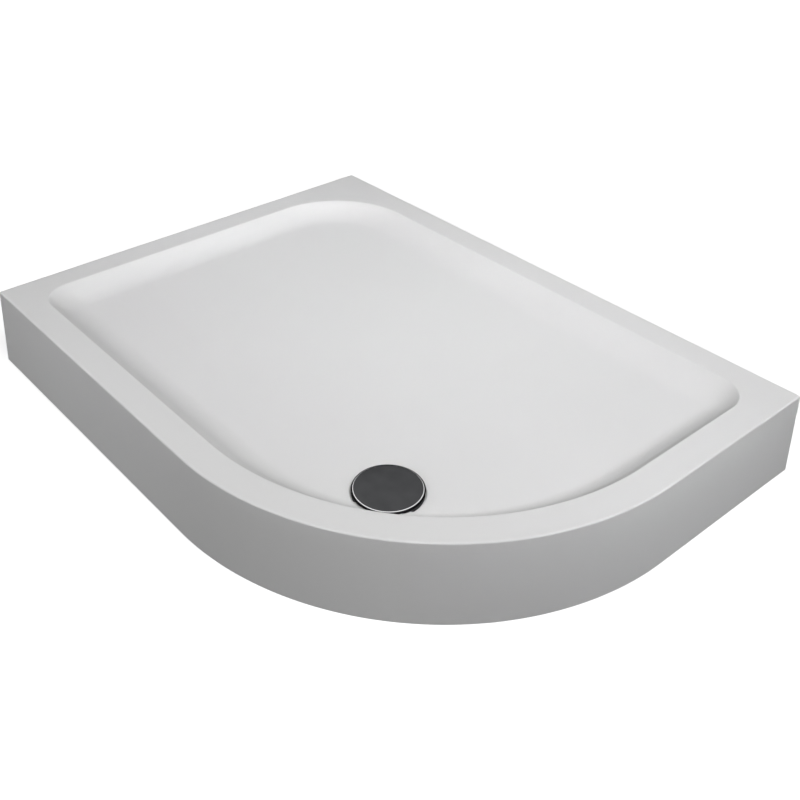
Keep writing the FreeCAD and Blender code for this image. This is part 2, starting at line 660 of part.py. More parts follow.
def foot_nuts(name, low):
    """One nut for each foot, all at one height."""
    blanks = []
    ways = []
    for foot, foot_x, foot_y in FEET:
        blanks.append(hexagon(f"{name}_{foot}", "nut_flats", "nut_height", foot_x, foot_y, low))
        ways.append(cylinder(f"{name}_way_{foot}", STUD_WAY, "nut_height + 2*overshoot",
                             foot_x, foot_y, f"{low} - overshoot"))
    return cut(name, join(name + "_blanks", blanks), join(name + "_ways", ways))


weld_nuts = foot_nuts("weld_nuts", f"({WEB_LOW} - nut_height)")
lock_nuts = foot_nuts("lock_nuts", f"({WEB_LOW} - 2*nut_height)")

foot_studs = []
foot_pads = []
for foot, foot_x, foot_y in FEET:
    stud_top = f"({BOARD_TOP} - foot_retract - stud_top_gap)"
    shaft = cylinder(f"{foot}_shaft", "stud_diameter/2", f"{stud_top} - pad_socket",
                     foot_x, foot_y, "pad_socket")
    collar = hexagon(f"{foot}_collar", "nut_flats", "collar_height",
                     foot_x, foot_y, "pad_height + collar_gap")
    foot_studs.append(join(f"{foot}_foot_stud", [shaft, collar]))
    socket = "(stud_diameter/2 + slip_gap)"
    foot_pad = revolved(f"{foot}_foot_pad", [
        ("0", "pad_hollow"), ("pad_diameter/2 - pad_ring", "pad_hollow"),
        ("pad_diameter/2 - pad_ring", "0"), ("pad_diameter/2", "0"),
        ("pad_diameter/2", "pad_edge"), ("pad_waist_radius", "pad_waist"),
        (f"{socket} + pad_neck_wall", "pad_height"), (socket, "pad_height"),
        (socket, "pad_socket"), ("0", "pad_socket"),
    ])
    foot_pads.append(move(foot_pad, foot_x, foot_y))

print("waste")
HOLE_EDGE = "(waste_hole/2 + seal_gap)"
FLANGE_LOW = f"({RECESS_Z} + seal_thick)"
upper_seal = ring("upper_seal", HOLE_EDGE, "recess_diameter/2 - seal_brim_gap", RECESS_Z, FLANGE_LOW)
lower_seal = ring("lower_seal", HOLE_EDGE, "trap_flange_radius - seal_inset", TRAP_TOP, UNDER_Z)
SLEEVE_BORE = "(sleeve_radius - sleeve_wall)"
SHOULDER_BORE = f"({SLEEVE_BORE} - shoulder_width)"
waste_flange = revolved("waste_flange", [
    (SHOULDER_BORE, SLEEVE_LOW), ("sleeve_radius", SLEEVE_LOW), ("sleeve_radius", FLANGE_LOW),
    ("flange_diameter/2", FLANGE_LOW), ("flange_diameter/2", f"{FLANGE_TOP} - flange_bevel"),
    ("flange_diameter/2 - flange_bevel", FLANGE_TOP), (SLEEVE_BORE, FLANGE_TOP),
    (SLEEVE_BORE, SHOULDER_Z), (SHOULDER_BORE, SHOULDER_Z),
])

# Trap with its side outlet, and the bottom welded to it
CUP_BORE = "(trap_radius - trap_wall)"
COLLAR_BORE = "(sleeve_radius + collar_clearance)"
COLLAR_LOW = f"({SLEEVE_LOW} - collar_spare)"
TRAP_FLANGE_LOW = f"({TRAP_TOP} - trap_flange_thick)"
CUP_FLOOR = f"({TRAP_LOW} + trap_wall)"
CUP_WELD = f"({OUTLET_Z} - {OUTLET_RADIUS} - cup_land)"
trap_wall = revolved("trap_wall_ring", [
    (CUP_BORE, CUP_WELD), ("trap_radius", CUP_WELD),
    ("trap_radius", TRAP_FLANGE_LOW), ("trap_flange_radius", TRAP_FLANGE_LOW),
    ("trap_flange_radius", TRAP_TOP), (COLLAR_BORE, TRAP_TOP), (COLLAR_BORE, COLLAR_LOW),
    (CUP_BORE, f"{COLLAR_LOW} - collar_taper"),
])
trap_bottom = move(revolved("trap_bottom", [
    ("0", TRAP_LOW), ("trap_radius - cup_bevel", TRAP_LOW), ("trap_radius", f"{TRAP_LOW} + cup_bevel"),
    ("trap_radius", CUP_WELD), (CUP_BORE, CUP_WELD), (CUP_BORE, CUP_FLOOR), ("0", CUP_FLOOR),
]), WASTE_X, WASTE_Y)


def along_outlet(piece, start):
    """Turns a piece made about Z to lie along +Y, at a distance from the trap's axis."""
    quarter_turn = FreeCAD.Rotation(FreeCAD.Vector(1, 0, 0), -90)
    piece.Placement = FreeCAD.Placement(FreeCAD.Vector(0, 0, 0), quarter_turn)
    return move(piece, WASTE_X, f"{WASTE_Y} + {start}", OUTLET_Z)


tube_start = f"({CUP_BORE} + joint_overlap)"
way_start = f"({CUP_BORE} - overshoot)"
socket_start = "(outlet_reach - outlet_depth)"
outlet_tube = along_outlet(
    cylinder("outlet_tube", OUTLET_RADIUS, f"outlet_reach - {tube_start}"), tube_start)
outlet_way = along_outlet(
    cylinder("outlet_way", f"{SOCKET_RADIUS} - outlet_stop", f"outlet_reach - {way_start}"), way_start)
outlet_socket = along_outlet(
    cylinder("outlet_socket", SOCKET_RADIUS, "outlet_depth + overshoot"), socket_start)
cup_blank = join("trap_blank", [move(trap_wall, WASTE_X, WASTE_Y), outlet_tube])
trap_body = cut("trap_body", cup_blank, join("outlet_ways", [outlet_way, outlet_socket]))

NUT_END = "(outlet_seal_length + outlet_nut_lip)"
NUT_START = f"({NUT_END} - outlet_nut_length)"
NUT_MOUTH = f"({SOCKET_RADIUS} + outlet_nut_clearance)"
outlet_nut = along_outlet(revolved("outlet_nut", [
    (NUT_BORE, NUT_START), (NUT_RADIUS, NUT_START), (NUT_RADIUS, f"{NUT_END} - outlet_nut_bevel"),
    (f"{NUT_RADIUS} - outlet_nut_bevel", NUT_END), (NUT_MOUTH, NUT_END),
    (NUT_MOUTH, "outlet_seal_length"), (NUT_BORE, "outlet_seal_length"),
]), "outlet_reach")
outlet_seal = along_outlet(
    ring("outlet_seal", f"{SOCKET_RADIUS} + outlet_seal_gap", OUTLET_RADIUS,
         "outlet_seal_slack", "outlet_seal_length - outlet_seal_slack"), "outlet_reach")

# Insert with the dip tube, held down by its sealing ring
HEAD_RADIUS = f"({SLEEVE_BORE} - insert_clearance)"
TUBE_RADIUS = f"({SHOULDER_BORE} - tube_clearance)"
TUBE_BORE = f"({TUBE_RADIUS} - insert_wall)"
TUBE_LOW = f"({CUP_FLOOR} + insert_lift_gap)"
HEAD_TOP = f"({SHOULDER_Z} + insert_head)"
GROOVE_Z = f"({SHOULDER_Z} + insert_head/2)"
GROOVE_HALF = "(ring_section/2 + ring_slack)"
GROOVE_RADIUS = f"({HEAD_RADIUS} - ring_section + ring_proud)"
insert_tube = revolved("insert_tube", [
    (TUBE_BORE, TUBE_LOW), (TUBE_RADIUS, TUBE_LOW), (TUBE_RADIUS, SHOULDER_Z), (HEAD_RADIUS, SHOULDER_Z),
    (HEAD_RADIUS, f"{GROOVE_Z} - {GROOVE_HALF}"), (GROOVE_RADIUS, f"{GROOVE_Z} - {GROOVE_HALF}"),
    (GROOVE_RADIUS, f"{GROOVE_Z} + {GROOVE_HALF}"), (HEAD_RADIUS, f"{GROOVE_Z} + {GROOVE_HALF}"),
    (HEAD_RADIUS, HEAD_TOP), (TUBE_BORE, HEAD_TOP),
])
STEM_LOW = f"({FLANGE_TOP} - stem_drop)"
HUB_LOW = f"({STEM_LOW} - hub_spare)"
STEM_BORE = "(stem_radius + stem_clearance)"


def cross_bars(name, reach, thick, low, top):
    """Two bars across the waste's axis, square to each other."""
    return [
        box(name + "_along", f"2*{reach}", thick, f"{top} - {low}",
            f"{WASTE_X} - {reach}", f"{WASTE_Y} - {thick}/2", low),
        box(name + "_across", thick, f"2*{reach}", f"{top} - {low}",
            f"{WASTE_X} - {thick}/2", f"{WASTE_Y} - {reach}", low),
    ]


spokes = cross_bars("spoke", f"({TUBE_BORE} + joint_overlap/2)", "spoke_thick", SHOULDER_Z, HEAD_TOP)
insert_hub = cylinder("insert_hub", f"{STEM_BORE} + hub_wall", f"{HEAD_TOP} - {HUB_LOW}",
                      WASTE_X, WASTE_Y, HUB_LOW)
insert_blank = join("insert_blank", [move(insert_tube, WASTE_X, WASTE_Y), insert_hub] + spokes)
stem_way = cylinder("stem_way", STEM_BORE, f"{HEAD_TOP} - {HUB_LOW} + 2*overshoot",
                    WASTE_X, WASTE_Y, f"{HUB_LOW} - overshoot")
trap_insert = cut("trap_insert", insert_blank, stem_way)
insert_ring = doc.addObject("Part::Torus", "insert_ring")
bind(insert_ring, "Radius1", f"{GROOVE_RADIUS} + ring_section/2 + ring_lift")
bind(insert_ring, "Radius2", "ring_section/2")
move(insert_ring, WASTE_X, WASTE_Y, GROOVE_Z)

# Cover with the carrier that plugs it into the insert
LIP_LOW = f"({FLANGE_TOP} + cover_gap)"
EDGE_Z = f"({LIP_LOW} + cover_lip)"
CROWN_Z = f"({EDGE_Z} + cover_rise)"
COVER_EDGE = "(cover_diameter/2)"
DOME = f"(({COVER_EDGE}*{COVER_EDGE} + cover_rise*cover_rise)/(2*cover_rise))"
INNER_EDGE = f"({COVER_EDGE} - cover_thick)"
UNDER_CROWN_Z = f"({CROWN_Z} - cover_thick)"
UNDER_RISE = f"({INNER_EDGE}*{INNER_EDGE}/(2*{DOME}))"
UNDER_DOME = f"(({INNER_EDGE}*{INNER_EDGE} + {UNDER_RISE}*{UNDER_RISE})/(2*{UNDER_RISE}))"
waste_cover = revolved("waste_cover", [
    ("0", CROWN_Z), (COVER_EDGE, EDGE_Z), (COVER_EDGE, LIP_LOW), (INNER_EDGE, LIP_LOW),
    (INNER_EDGE, f"{UNDER_CROWN_Z} - {UNDER_RISE}"), ("0", UNDER_CROWN_Z),
], {0: (DOME, 1), 4: (UNDER_DOME, -1)})
doc.recompute()
lip_edges = edges_at(waste_cover.Tip.Shape, number(EDGE_Z))
rounded_edges(waste_cover, lip_edges, "cover_round")
move(waste_cover, WASTE_X, WASTE_Y)

CARRIER_REACH = f"({SLEEVE_BORE} + carrier_reach)"
CARRIER_TOP = f"({UNDER_CROWN_Z} - {CARRIER_REACH}*{CARRIER_REACH}/(2*{DOME}) - slip_gap)"
HUB_TOP = f"({UNDER_CROWN_Z} - hub_gap)"
carrier_arms = cross_bars("arm", CARRIER_REACH, "arm_thick", FLANGE_TOP, CARRIER_TOP)
carrier_hub = cylinder("carrier_hub", "stem_radius + hub_wall", f"{HUB_TOP} - {FLANGE_TOP}",
                       WASTE_X, WASTE_Y, FLANGE_TOP)
carrier_stem = cylinder("carrier_stem", "stem_radius", f"{FLANGE_TOP} - {STEM_LOW} + joint_overlap",
                        WASTE_X, WASTE_Y, STEM_LOW)
cover_carrier = join("cover_carrier", carrier_arms + [carrier_hub, carrier_stem])

move(upper_seal, WASTE_X, WASTE_Y)
move(lower_seal, WASTE_X, WASTE_Y)
move(waste_flange, WASTE_X, WASTE_Y)
doc.recompute()

for item in doc.Objects:
    if "Invalid" in item.State or "Error" in item.State:
        raise RuntimeError(f"{item.Label} did not compute: {item.State}")

PIECES = [tray_shell, glass_fibre_laminate, base_board, rail_screws, weld_nuts, lock_nuts,
          upper_seal, lower_seal, waste_flange, trap_body, trap_bottom, outlet_nut, outlet_seal,
          trap_insert, insert_ring, waste_cover, cover_carrier]
PIECES += leg_rails + foot_studs + foot_pads
os.makedirs("parts", exist_ok=True)
for piece in PIECES:
    shape = piece.Shape
    if shape.isNull() or not shape.isValid() or not shape.Solids:
        raise RuntimeError(f"{piece.Label} has no sound solid")
    shape.exportStep(f"parts/{piece.Label}.step")
    print(piece.Label, len(shape.Solids), round(shape.Volume / 1000, 2), "cm3")
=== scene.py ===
import json
import math

import bmesh
import bpy
from mathutils import Matrix, Vector, noise


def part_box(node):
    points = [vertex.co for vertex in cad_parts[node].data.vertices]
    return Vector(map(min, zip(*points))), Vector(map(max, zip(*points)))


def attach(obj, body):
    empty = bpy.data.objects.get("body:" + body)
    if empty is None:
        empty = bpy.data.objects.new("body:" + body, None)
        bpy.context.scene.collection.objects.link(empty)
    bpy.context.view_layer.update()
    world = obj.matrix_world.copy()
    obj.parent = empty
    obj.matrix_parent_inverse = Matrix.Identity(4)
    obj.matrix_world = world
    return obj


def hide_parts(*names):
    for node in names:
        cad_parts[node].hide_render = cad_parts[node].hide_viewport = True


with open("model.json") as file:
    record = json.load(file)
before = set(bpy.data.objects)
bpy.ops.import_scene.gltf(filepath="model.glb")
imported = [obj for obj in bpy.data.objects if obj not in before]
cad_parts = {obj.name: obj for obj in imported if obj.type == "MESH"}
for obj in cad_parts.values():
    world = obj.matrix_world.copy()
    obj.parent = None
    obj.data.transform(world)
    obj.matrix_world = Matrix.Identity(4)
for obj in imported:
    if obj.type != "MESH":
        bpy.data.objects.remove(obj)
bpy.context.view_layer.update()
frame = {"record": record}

# Shapes are worked out in millimetres, as in the CAD, and scaled when a piece is made
METRE = 1000.0

# Tray in plan and section
LEFT, RIGHT = -600.0, 586.0
FRONT, BACK = -436.0, 450.0
CURVE_X, CURVE_Y, CURVE_RADIUS = 62.0, 88.0, 524.0
RIM_HEIGHT = 150.0
SKIRT_LEAN = 14.0 / RIM_HEIGHT
CORNER_RADIUS = 4.0
RIM_WIDTH = 55.0
OUTER_ROUND, INNER_ROUND, LEAST_ROUND = 3.0, 4.0, 0.5
# Each basin wall's slope in degrees, and its run from the rim's inner edge to its foot
FRONT_WALL = (37.0, 67.0)
CURVE_WALL = (47.0, 45.0)
RIGHT_WALL = (48.0, 54.0)
FAR_WALL = (42.0, 60.0)
EDGE_INSET, EDGE_CORNER, EDGE_BACK_CORNER = 50.0, 64.6, 182.6
FOOT_INSET, FOOT_CORNER, FOOT_BACK_CORNER = 125.0, 8.0, 107.6
FLOOR_LOW = 116.0
FALL_LEFT, FALL_BACK = 0.007577, 0.010752
CREASE_BLEND = 4.0
ACRYLIC = 4.0
EDGE_LOW = 110.0
RETURN_X, RETURN_Y = 560.0, -410.0
WASTE_X, WASTE_Y = 297.356, -215.420
RECESS_RADIUS, RECESS_Z, RECESS_EASE = 58.5, 113.0, 1.5
HOLE_RADIUS, HOLE_LAND, HOLE_EASE = 43.0, 9.0, 0.5
# COVER_LINE and LINE_HALF: radius and half width of the cover's step, where its finish paints a highlight
# ring, with painted shade beyond it
COVER_RADIUS, COVER_LINE, LINE_HALF = 57.2, 54.3, 0.5
FEET = ("left_front", "left_back", "middle_front", "middle_back", "right_front", "right_back")


def middle(node):
    """The middle of a CAD node at rest, in millimetres."""
    low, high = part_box(node)
    return (low + high) * 0.5 * METRE


class Value:
    """A shader socket that can stand in a Python sum."""

    def __init__(self, owner, socket):
        self.owner = owner
        self.socket = socket

    def sum(self, operation, first, second):
        return self.owner.node("ShaderNodeMath", {"operation": operation}, {0: first, 1: second})

    def __add__(self, other):
        return self.sum("ADD", self, other)

    def __radd__(self, other):
        return self.sum("ADD", other, self)

    def __sub__(self, other):
        return self.sum("SUBTRACT", self, other)

    def __rsub__(self, other):
        return self.sum("SUBTRACT", other, self)

    def __mul__(self, other):
        return self.sum("MULTIPLY", self, other)

    def __rmul__(self, other):
        return self.sum("MULTIPLY", other, self)

    def __gt__(self, other):
        return self.sum("GREATER_THAN", self, other)

    def larger(self, other):
        return self.sum("MAXIMUM", self, other)


class Nodes:
    """A node tree in which every node is made by one method."""

    def __init__(self, tree):
        self.tree = tree

    def node(self, kind, settings=None, values=None, output=0):
        made = self.tree.nodes.new(kind)
        for name, value in (settings or {}).items():
            if name == "stops":
                ramp = made.color_ramp
                while len(ramp.elements) < len(value):
                    ramp.elements.new(0.5)
                for element, (place, colour) in zip(ramp.elements, value):
                    element.position = place
                    element.color = (*colour, 1.0)
            else:
                setattr(made, name, value)
        for name, value in (values or {}).items():
            self.feed(made.inputs[name], value)
        return Value(self, made.outputs[output])

    def feed(self, socket, value):
        if isinstance(value, Value):
            self.tree.links.new(value.socket, socket)
        elif hasattr(value, "__len__") and socket.type == "RGBA":
            socket.default_value = (*value[:3], 1.0)
        else:
            socket.default_value = value


class Finish(Nodes):
    """A procedural material: constants go straight to its shader's sockets."""

    def __init__(self, name, **constants):
        self.material = bpy.data.materials.new(name)
        self.material.use_nodes = True
        super().__init__(self.material.node_tree)
        self.shader = self.tree.nodes["Principled BSDF"]
        for socket, value in constants.items():
            self.feed(self.shader.inputs[socket.replace("_", " ")], value)
        self.point = self.node("ShaderNodeTexCoord", output="Object")

    def set(self, socket, value):
        self.feed(self.shader.inputs[socket], value)

    def vector(self, operation, first, second=None, output="Vector"):
        values = {0: first} if second is None else {0: first, 1: second}
        return self.node("ShaderNodeVectorMath", {"operation": operation}, values, output)

    def stretched(self, x, y, z, point=None):
        """The surface point, or another, with each axis scaled."""
        return self.vector("MULTIPLY", point or self.point, (x, y, z))

    def noise(self, size, detail=2.0, rough=0.5, point=None):
        """Noise from 0 to 1 with features of a size in millimetres."""
        return self.node("ShaderNodeTexNoise", {}, {
            "Vector": point or self.point, "Scale": METRE / size, "Detail": detail, "Roughness": rough})

    def cells(self, size, point):
        """Cells of a size in millimetres, each with a colour of its own."""
        return self.node("ShaderNodeTexVoronoi", {}, {"Vector": point, "Scale": METRE / size}, "Color")

    def grey(self, colour):
        return self.node("ShaderNodeRGBToBW", {}, {0: colour})

    def ramp(self, value, *stops):
        return self.node("ShaderNodeValToRGB", {"stops": stops}, {0: value})

    def mix(self, share, first, second):
        return self.node("ShaderNodeMix", {"data_type": "RGBA"}, {0: share, 6: first, 7: second}, 2)

    def bump(self, height, strength, depth):
        self.set("Normal", self.node("ShaderNodeBump", {}, {
            "Strength": strength, "Distance": depth / METRE, "Height": height}))


SEEN_RAYS = ("Is Camera Ray", "Is Glossy Ray", "Is Transmission Ray")


def seen_by(nodes):
    """One where the camera looks straight, by a mirror or through glass, and nought for plain light."""
    total = None
    for output in SEEN_RAYS:
        ray = nodes.node("ShaderNodeLightPath", output=output)
        total = ray if total is None else total.larger(ray)
    return total


# Finishes
def acrylic_finish():
    finish = Finish("gloss_white_acrylic", Specular_IOR_Level=0.0, Coat_Weight=0.14, Coat_Roughness=0.06)
    cast = finish.noise(260.0, 2.0)
    finish.set("Base Color", finish.mix(cast, (0.80, 0.80, 0.80), (0.83, 0.83, 0.83)))
    wipe = finish.noise(60.0, 4.0, 0.6)
    finish.set("Roughness", 0.17 + 0.10 * wipe)
    finish.bump(finish.noise(35.0, 1.0), 0.05, 0.4)
    return finish.material


def cover_finish():
    """Dark polish with a bright ring painted on its turned step as a highlight, inside a rounded edge and
    lip painted black as shade.
    """
    finish = Finish("dark_polished_chrome", Metallic=1.0, Anisotropic=0.55, Specular_Tint=(0.2, 0.2, 0.2))
    offset = finish.vector("SUBTRACT", finish.point, (WASTE_X / METRE, WASTE_Y / METRE, 0.0))
    radius = finish.vector("LENGTH", finish.stretched(1.0, 1.0, 0.0, offset), output="Value")
    turning = finish.node("ShaderNodeTexNoise", {"noise_dimensions": "1D"}, {
        "W": radius, "Scale": METRE / 0.9, "Detail": 3.0})
    smear = finish.noise(22.0, 3.0)
    face = finish.mix(smear, (0.055, 0.056, 0.058), (0.085, 0.086, 0.089))
    # Bright ring painted at the step as a highlight of the polished edge
    painted_highlight_ring = finish.node("ShaderNodeMath", {"operation": "COMPARE"}, {
        0: radius, 1: COVER_LINE / METRE, 2: LINE_HALF / METRE})
    # Past the step, the rounded edge and lip are painted near black as the shade of the gap under the cover
    outside = radius > (COVER_LINE + LINE_HALF) / METRE
    face_with_painted_shade = finish.mix(outside, face, (0.010, 0.010, 0.011))
    finish.set("Base Color", finish.mix(painted_highlight_ring, face_with_painted_shade, (0.82, 0.82, 0.83)))
    finish.set("Roughness", 0.16 + 0.08 * turning + 0.05 * smear)
    return finish.material


def laminate_finish():
    finish = Finish("chopped_strand_laminate", IOR=1.52)
    strands = None
    for turn in range(3):
        rotated = finish.node("ShaderNodeVectorRotate", {"rotation_type": "EULER_XYZ"}, {
            "Vector": finish.point, "Rotation": (0.4 * turn, 0.7 * turn, 1.05 * turn)})
        thread = finish.noise(1.6, 2.0, 0.6, finish.stretched(0.06, 1.0, 1.0, rotated))
        strands = thread if strands is None else strands.larger(thread)
    pools = finish.noise(45.0, 3.0)
    depth = 0.6 * strands + 0.4 * pools
    finish.set("Base Color", finish.ramp(
        depth, (0.36, (0.36, 0.34, 0.24)), (0.52, (0.60, 0.58, 0.46)), (0.68, (0.76, 0.75, 0.66))))
    finish.set("Roughness", 0.34 + 0.3 * strands)
    finish.bump(strands + 1.5 * pools, 0.6, 0.9)
    return finish.material


def chipboard_finish():
    finish = Finish("raw_chipboard", IOR=1.45)
    flakes = finish.cells(7.0, finish.stretched(0.55, 1.0, 1.6))
    chips = finish.cells(2.6, finish.stretched(1.0, 0.6, 1.3))
    shade = finish.grey(flakes) * 0.55 + finish.grey(chips) * 0.35 + 0.2 * finish.noise(1.2, 3.0)
    finish.set("Base Color", finish.ramp(
        shade, (0.2, (0.20, 0.12, 0.06)), (0.5, (0.48, 0.34, 0.20)), (0.85, (0.68, 0.53, 0.35))))
    finish.set("Roughness", 0.72 + 0.2 * finish.grey(chips))
    finish.bump(shade, 0.5, 0.6)
    return finish.material


def galvanised_finish():
    finish = Finish("galvanised_sheet", Metallic=1.0)
    scatter = finish.node("ShaderNodeTexNoise", {}, {"Vector": finish.point, "Scale": 90.0}, "Color")
    shift = finish.node("ShaderNodeVectorMath", {"operation": "SCALE"}, {0: scatter, "Scale": 0.006})
    spangle = finish.grey(finish.cells(11.0, finish.vector("ADD", finish.point, shift)))
    frost = finish.noise(3.0, 3.0)
    shade = 0.7 * spangle + 0.3 * frost
    finish.set("Base Color", finish.ramp(
        shade, (0.15, (0.42, 0.44, 0.46)), (0.5, (0.56, 0.58, 0.60)), (0.85, (0.70, 0.72, 0.74))))
    finish.set("Roughness", 0.30 + 0.22 * spangle)
    finish.bump(frost, 0.15, 0.2)
    return finish.material


def zinc_finish():
    finish = Finish("bright_zinc_plate", Metallic=1.0)
    tarnish = finish.noise(9.0, 3.0)
    finish.set("Base Color", finish.mix(tarnish, (0.60, 0.60, 0.58), (0.70, 0.71, 0.74)))
    finish.set("Roughness", 0.24 + 0.18 * finish.noise(2.5, 3.0))
    return finish.material


def rubber_finish():
    finish = Finish("black_seal_rubber", IOR=1.5)
    bloom = finish.noise(7.0, 3.0)
    finish.set("Base Color", finish.mix(bloom, (0.012, 0.012, 0.012), (0.026, 0.026, 0.027)))
    finish.set("Roughness", 0.55 + 0.25 * bloom)
    finish.bump(finish.noise(0.8, 2.0), 0.15, 0.1)
    return finish.material


def moulded_finish(name, dark, light, rough, grain):
    """Injection moulded plastic with a fine skin and a slow drift of colour."""
    finish = Finish(name, IOR=1.5)
    drift = finish.noise(30.0, 3.0)
    finish.set("Base Color", finish.mix(drift, dark, light))
    finish.set("Roughness", rough + 0.14 * finish.noise(6.0, 3.0))
    finish.bump(finish.noise(grain, 2.0), 0.12, 0.12)
    return finish.material


FINISHES = {
    "acrylic": acrylic_finish(),
    "cover_chrome": cover_finish(),
    "laminate": laminate_finish(),
    "chipboard": chipboard_finish(),
    "galvanised_steel": galvanised_finish(),
    "zinc_steel": zinc_finish(),
    "seal_rubber": rubber_finish(),
    "flange_plastic": moulded_finish(
        "satin_black_plastic", (0.022, 0.022, 0.023), (0.034, 0.034, 0.036), 0.3, 0.9),
    "trap_plastic": moulded_finish(
        "moulded_white_plastic", (0.66, 0.66, 0.64), (0.72, 0.72, 0.70), 0.36, 0.7),
    "insert_plastic": moulded_finish(
        "moulded_grey_plastic", (0.27, 0.28, 0.29), (0.31, 0.32, 0.33), 0.36, 0.7),
    "foot_plastic": moulded_finish(
        "moulded_black_plastic", (0.035, 0.035, 0.038), (0.05, 0.05, 0.054), 0.42, 0.6),
}


class Shape:
    """Points and faces gathered row by row, in millimetres."""

    def __init__(self):
        self.points = []
        self.faces = []

    def row(self, points):
        start = len(self.points)
        self.points.extend(points)
        return list(range(start, len(self.points)))

    def band(self, first, second, closed=True, skip=()):
        """Quads between two rows of the same length."""
        count = len(first)
        for index in range(count if closed else count - 1):
            after = (index + 1) % count
            if index not in skip:
                self.faces.append((first[index], first[after], second[after], second[index]))

    def bands(self, rows, loop=False):
        pairs = list(zip(rows, rows[1:]))
        if loop:
            pairs.append((rows[-1], rows[0]))
        for first, second in pairs:
            self.band(first, second)

    def cap(self, row):
        self.faces.append(tuple(row))


def mesh_object(name, shape):
    """A closed mesh object made from a shape."""
    mesh = bpy.data.meshes.new(name)
    mesh.from_pydata([(x / METRE, y / METRE, z / METRE) for x, y, z in shape.points], [], shape.faces)
    work = bmesh.new()
    work.from_mesh(mesh)
    bmesh.ops.remove_doubles(work, verts=work.verts, dist=1e-7)
    bmesh.ops.delete(work, geom=[vert for vert in work.verts if not vert.link_faces], context="VERTS")
    bmesh.ops.recalc_face_normals(work, faces=work.faces)
    work.to_mesh(mesh)
    work.free()
    made = bpy.data.objects.new(name, mesh)
    bpy.context.collection.objects.link(made)
    return made


def carve(made, shape, operation):
    """Joins a shape to a piece, or cuts it out."""
    tool = mesh_object("carving_tool", shape)
    change = made.modifiers.new("carve", "BOOLEAN")
    change.operation = operation
    change.solver = "EXACT"
    change.object = tool
    graph = bpy.context.evaluated_depsgraph_get()
    made.data = bpy.data.meshes.new_from_object(made.evaluated_get(graph))
    made.data.name = made.name
    made.modifiers.remove(change)
    bpy.data.objects.remove(tool)


def dress(made, body, slot, nodes, sharp=35.0, bevel=0.0):
    """Gives a piece its shading, finish, body and the CAD nodes that it stands for."""
    mesh = made.data
    for polygon in mesh.polygons:
        polygon.use_smooth = True
    mesh.set_sharp_from_angle(angle=math.radians(sharp))
    mesh.materials.clear()
    mesh.materials.append(FINISHES[slot])
    if bevel:
        edge = made.modifiers.new("eased_edges", "BEVEL")
        edge.width = bevel / METRE
        edge.segments = 2
        edge.limit_method = "ANGLE"
        edge.angle_limit = math.radians(50)
        edge.harden_normals = True
    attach(made, body)
    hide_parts(*nodes)
    return made


def add_piece(name, shape, body, slot, nodes, sharp=35.0, bevel=0.0):
    return dress(mesh_object(name, shape), body, slot, nodes, sharp, bevel)


# Tray shell and its backing, as rings drawn in from the rim's outer edge
CURVE_STEPS, CORNER_STEPS, BACK_STEPS = 96, 14, 24
RIGHT_STEPS, REAR_STEPS, LEFT_STEPS, FRONT_STEPS = 24, 64, 44, 40
FLOOR_STEPS, HOLLOW_STEPS = 44, 16
ROUND_STEPS, EDGE_STEPS = 8, 7
# Heights of the skirt's rows below the wall sides' edge; one more lies half way from that edge to SKIRT_TOP
SKIRT_ROWS, SKIRT_TOP = (12.0, 40.0, 75.0), 145.0
# Shares of the way across the flat rim at which it has a row
RIM_ROWS = (0.12, 0.35, 0.6, 0.82)


def side_points(start, end, steps, stop=None, stop_first=True):
    """Points between two turns; a stop is a place where the first or last of them has to lie."""
    if stop is None:
        return [start.lerp(end, step / steps) for step in range(1, steps)]
    if stop_first:
        return [stop.lerp(end, step / (steps - 1)) for step in range(steps - 1)]
    return [start.lerp(stop, step / (steps - 1)) for step in range(1, steps)]


def plan_ring(open_inset, wall_inset, corner, back_corner, margin=0.0):
    """The tray's outline in plan, drawn in from the rim's edge on the open and the wall sides."""
    left, right = LEFT + wall_inset, RIGHT - open_inset
    front, back = FRONT + open_inset, BACK - wall_inset
    turns = [
        (CURVE_X, CURVE_Y, CURVE_RADIUS - open_inset, -90, CURVE_STEPS),
        (right - corner, back - corner, corner, 0, CORNER_STEPS),
        (left + back_corner, back - back_corner, back_corner, 90, BACK_STEPS),
        (left + corner, front + corner, corner, 180, CORNER_STEPS),
    ]
    arcs = []
    for x, y, radius, start, steps in turns:
        angles = [math.radians(start + 90 * step / steps) for step in range(steps + 1)]
        arcs.append([Vector((x + radius * math.cos(a), y + radius * math.sin(a))) for a in angles])
    rear_stop = Vector((RETURN_X - margin, back))
    left_stop = Vector((left, RETURN_Y + margin))
    rear_stop = rear_stop if arcs[1][-1].x > rear_stop.x + 1 else None
    left_stop = left_stop if arcs[3][0].y < left_stop.y - 1 else None
    return (arcs[0] + side_points(arcs[0][-1], arcs[1][0], RIGHT_STEPS)
            + arcs[1] + side_points(arcs[1][-1], arcs[2][0], REAR_STEPS, rear_stop)
            + arcs[2] + side_points(arcs[2][-1], arcs[3][0], LEFT_STEPS, left_stop, False)
            + arcs[3] + side_points(arcs[3][-1], arcs[0][0], FRONT_STEPS))


WINDOW_START = CURVE_STEPS + RIGHT_STEPS + CORNER_STEPS + 1
WINDOW_END = WINDOW_START + REAR_STEPS + BACK_STEPS + LEFT_STEPS - 2


def floor_height(x, y):
    """The pitched floor: level at the waste, rising to the two wall sides, with soft creases."""
    falls = (0.0, FALL_LEFT * (WASTE_X - x), FALL_BACK * (y - WASTE_Y))
    return FLOOR_LOW + math.log(sum(math.exp(CREASE_BLEND * fall) for fall in falls)) / CREASE_BLEND


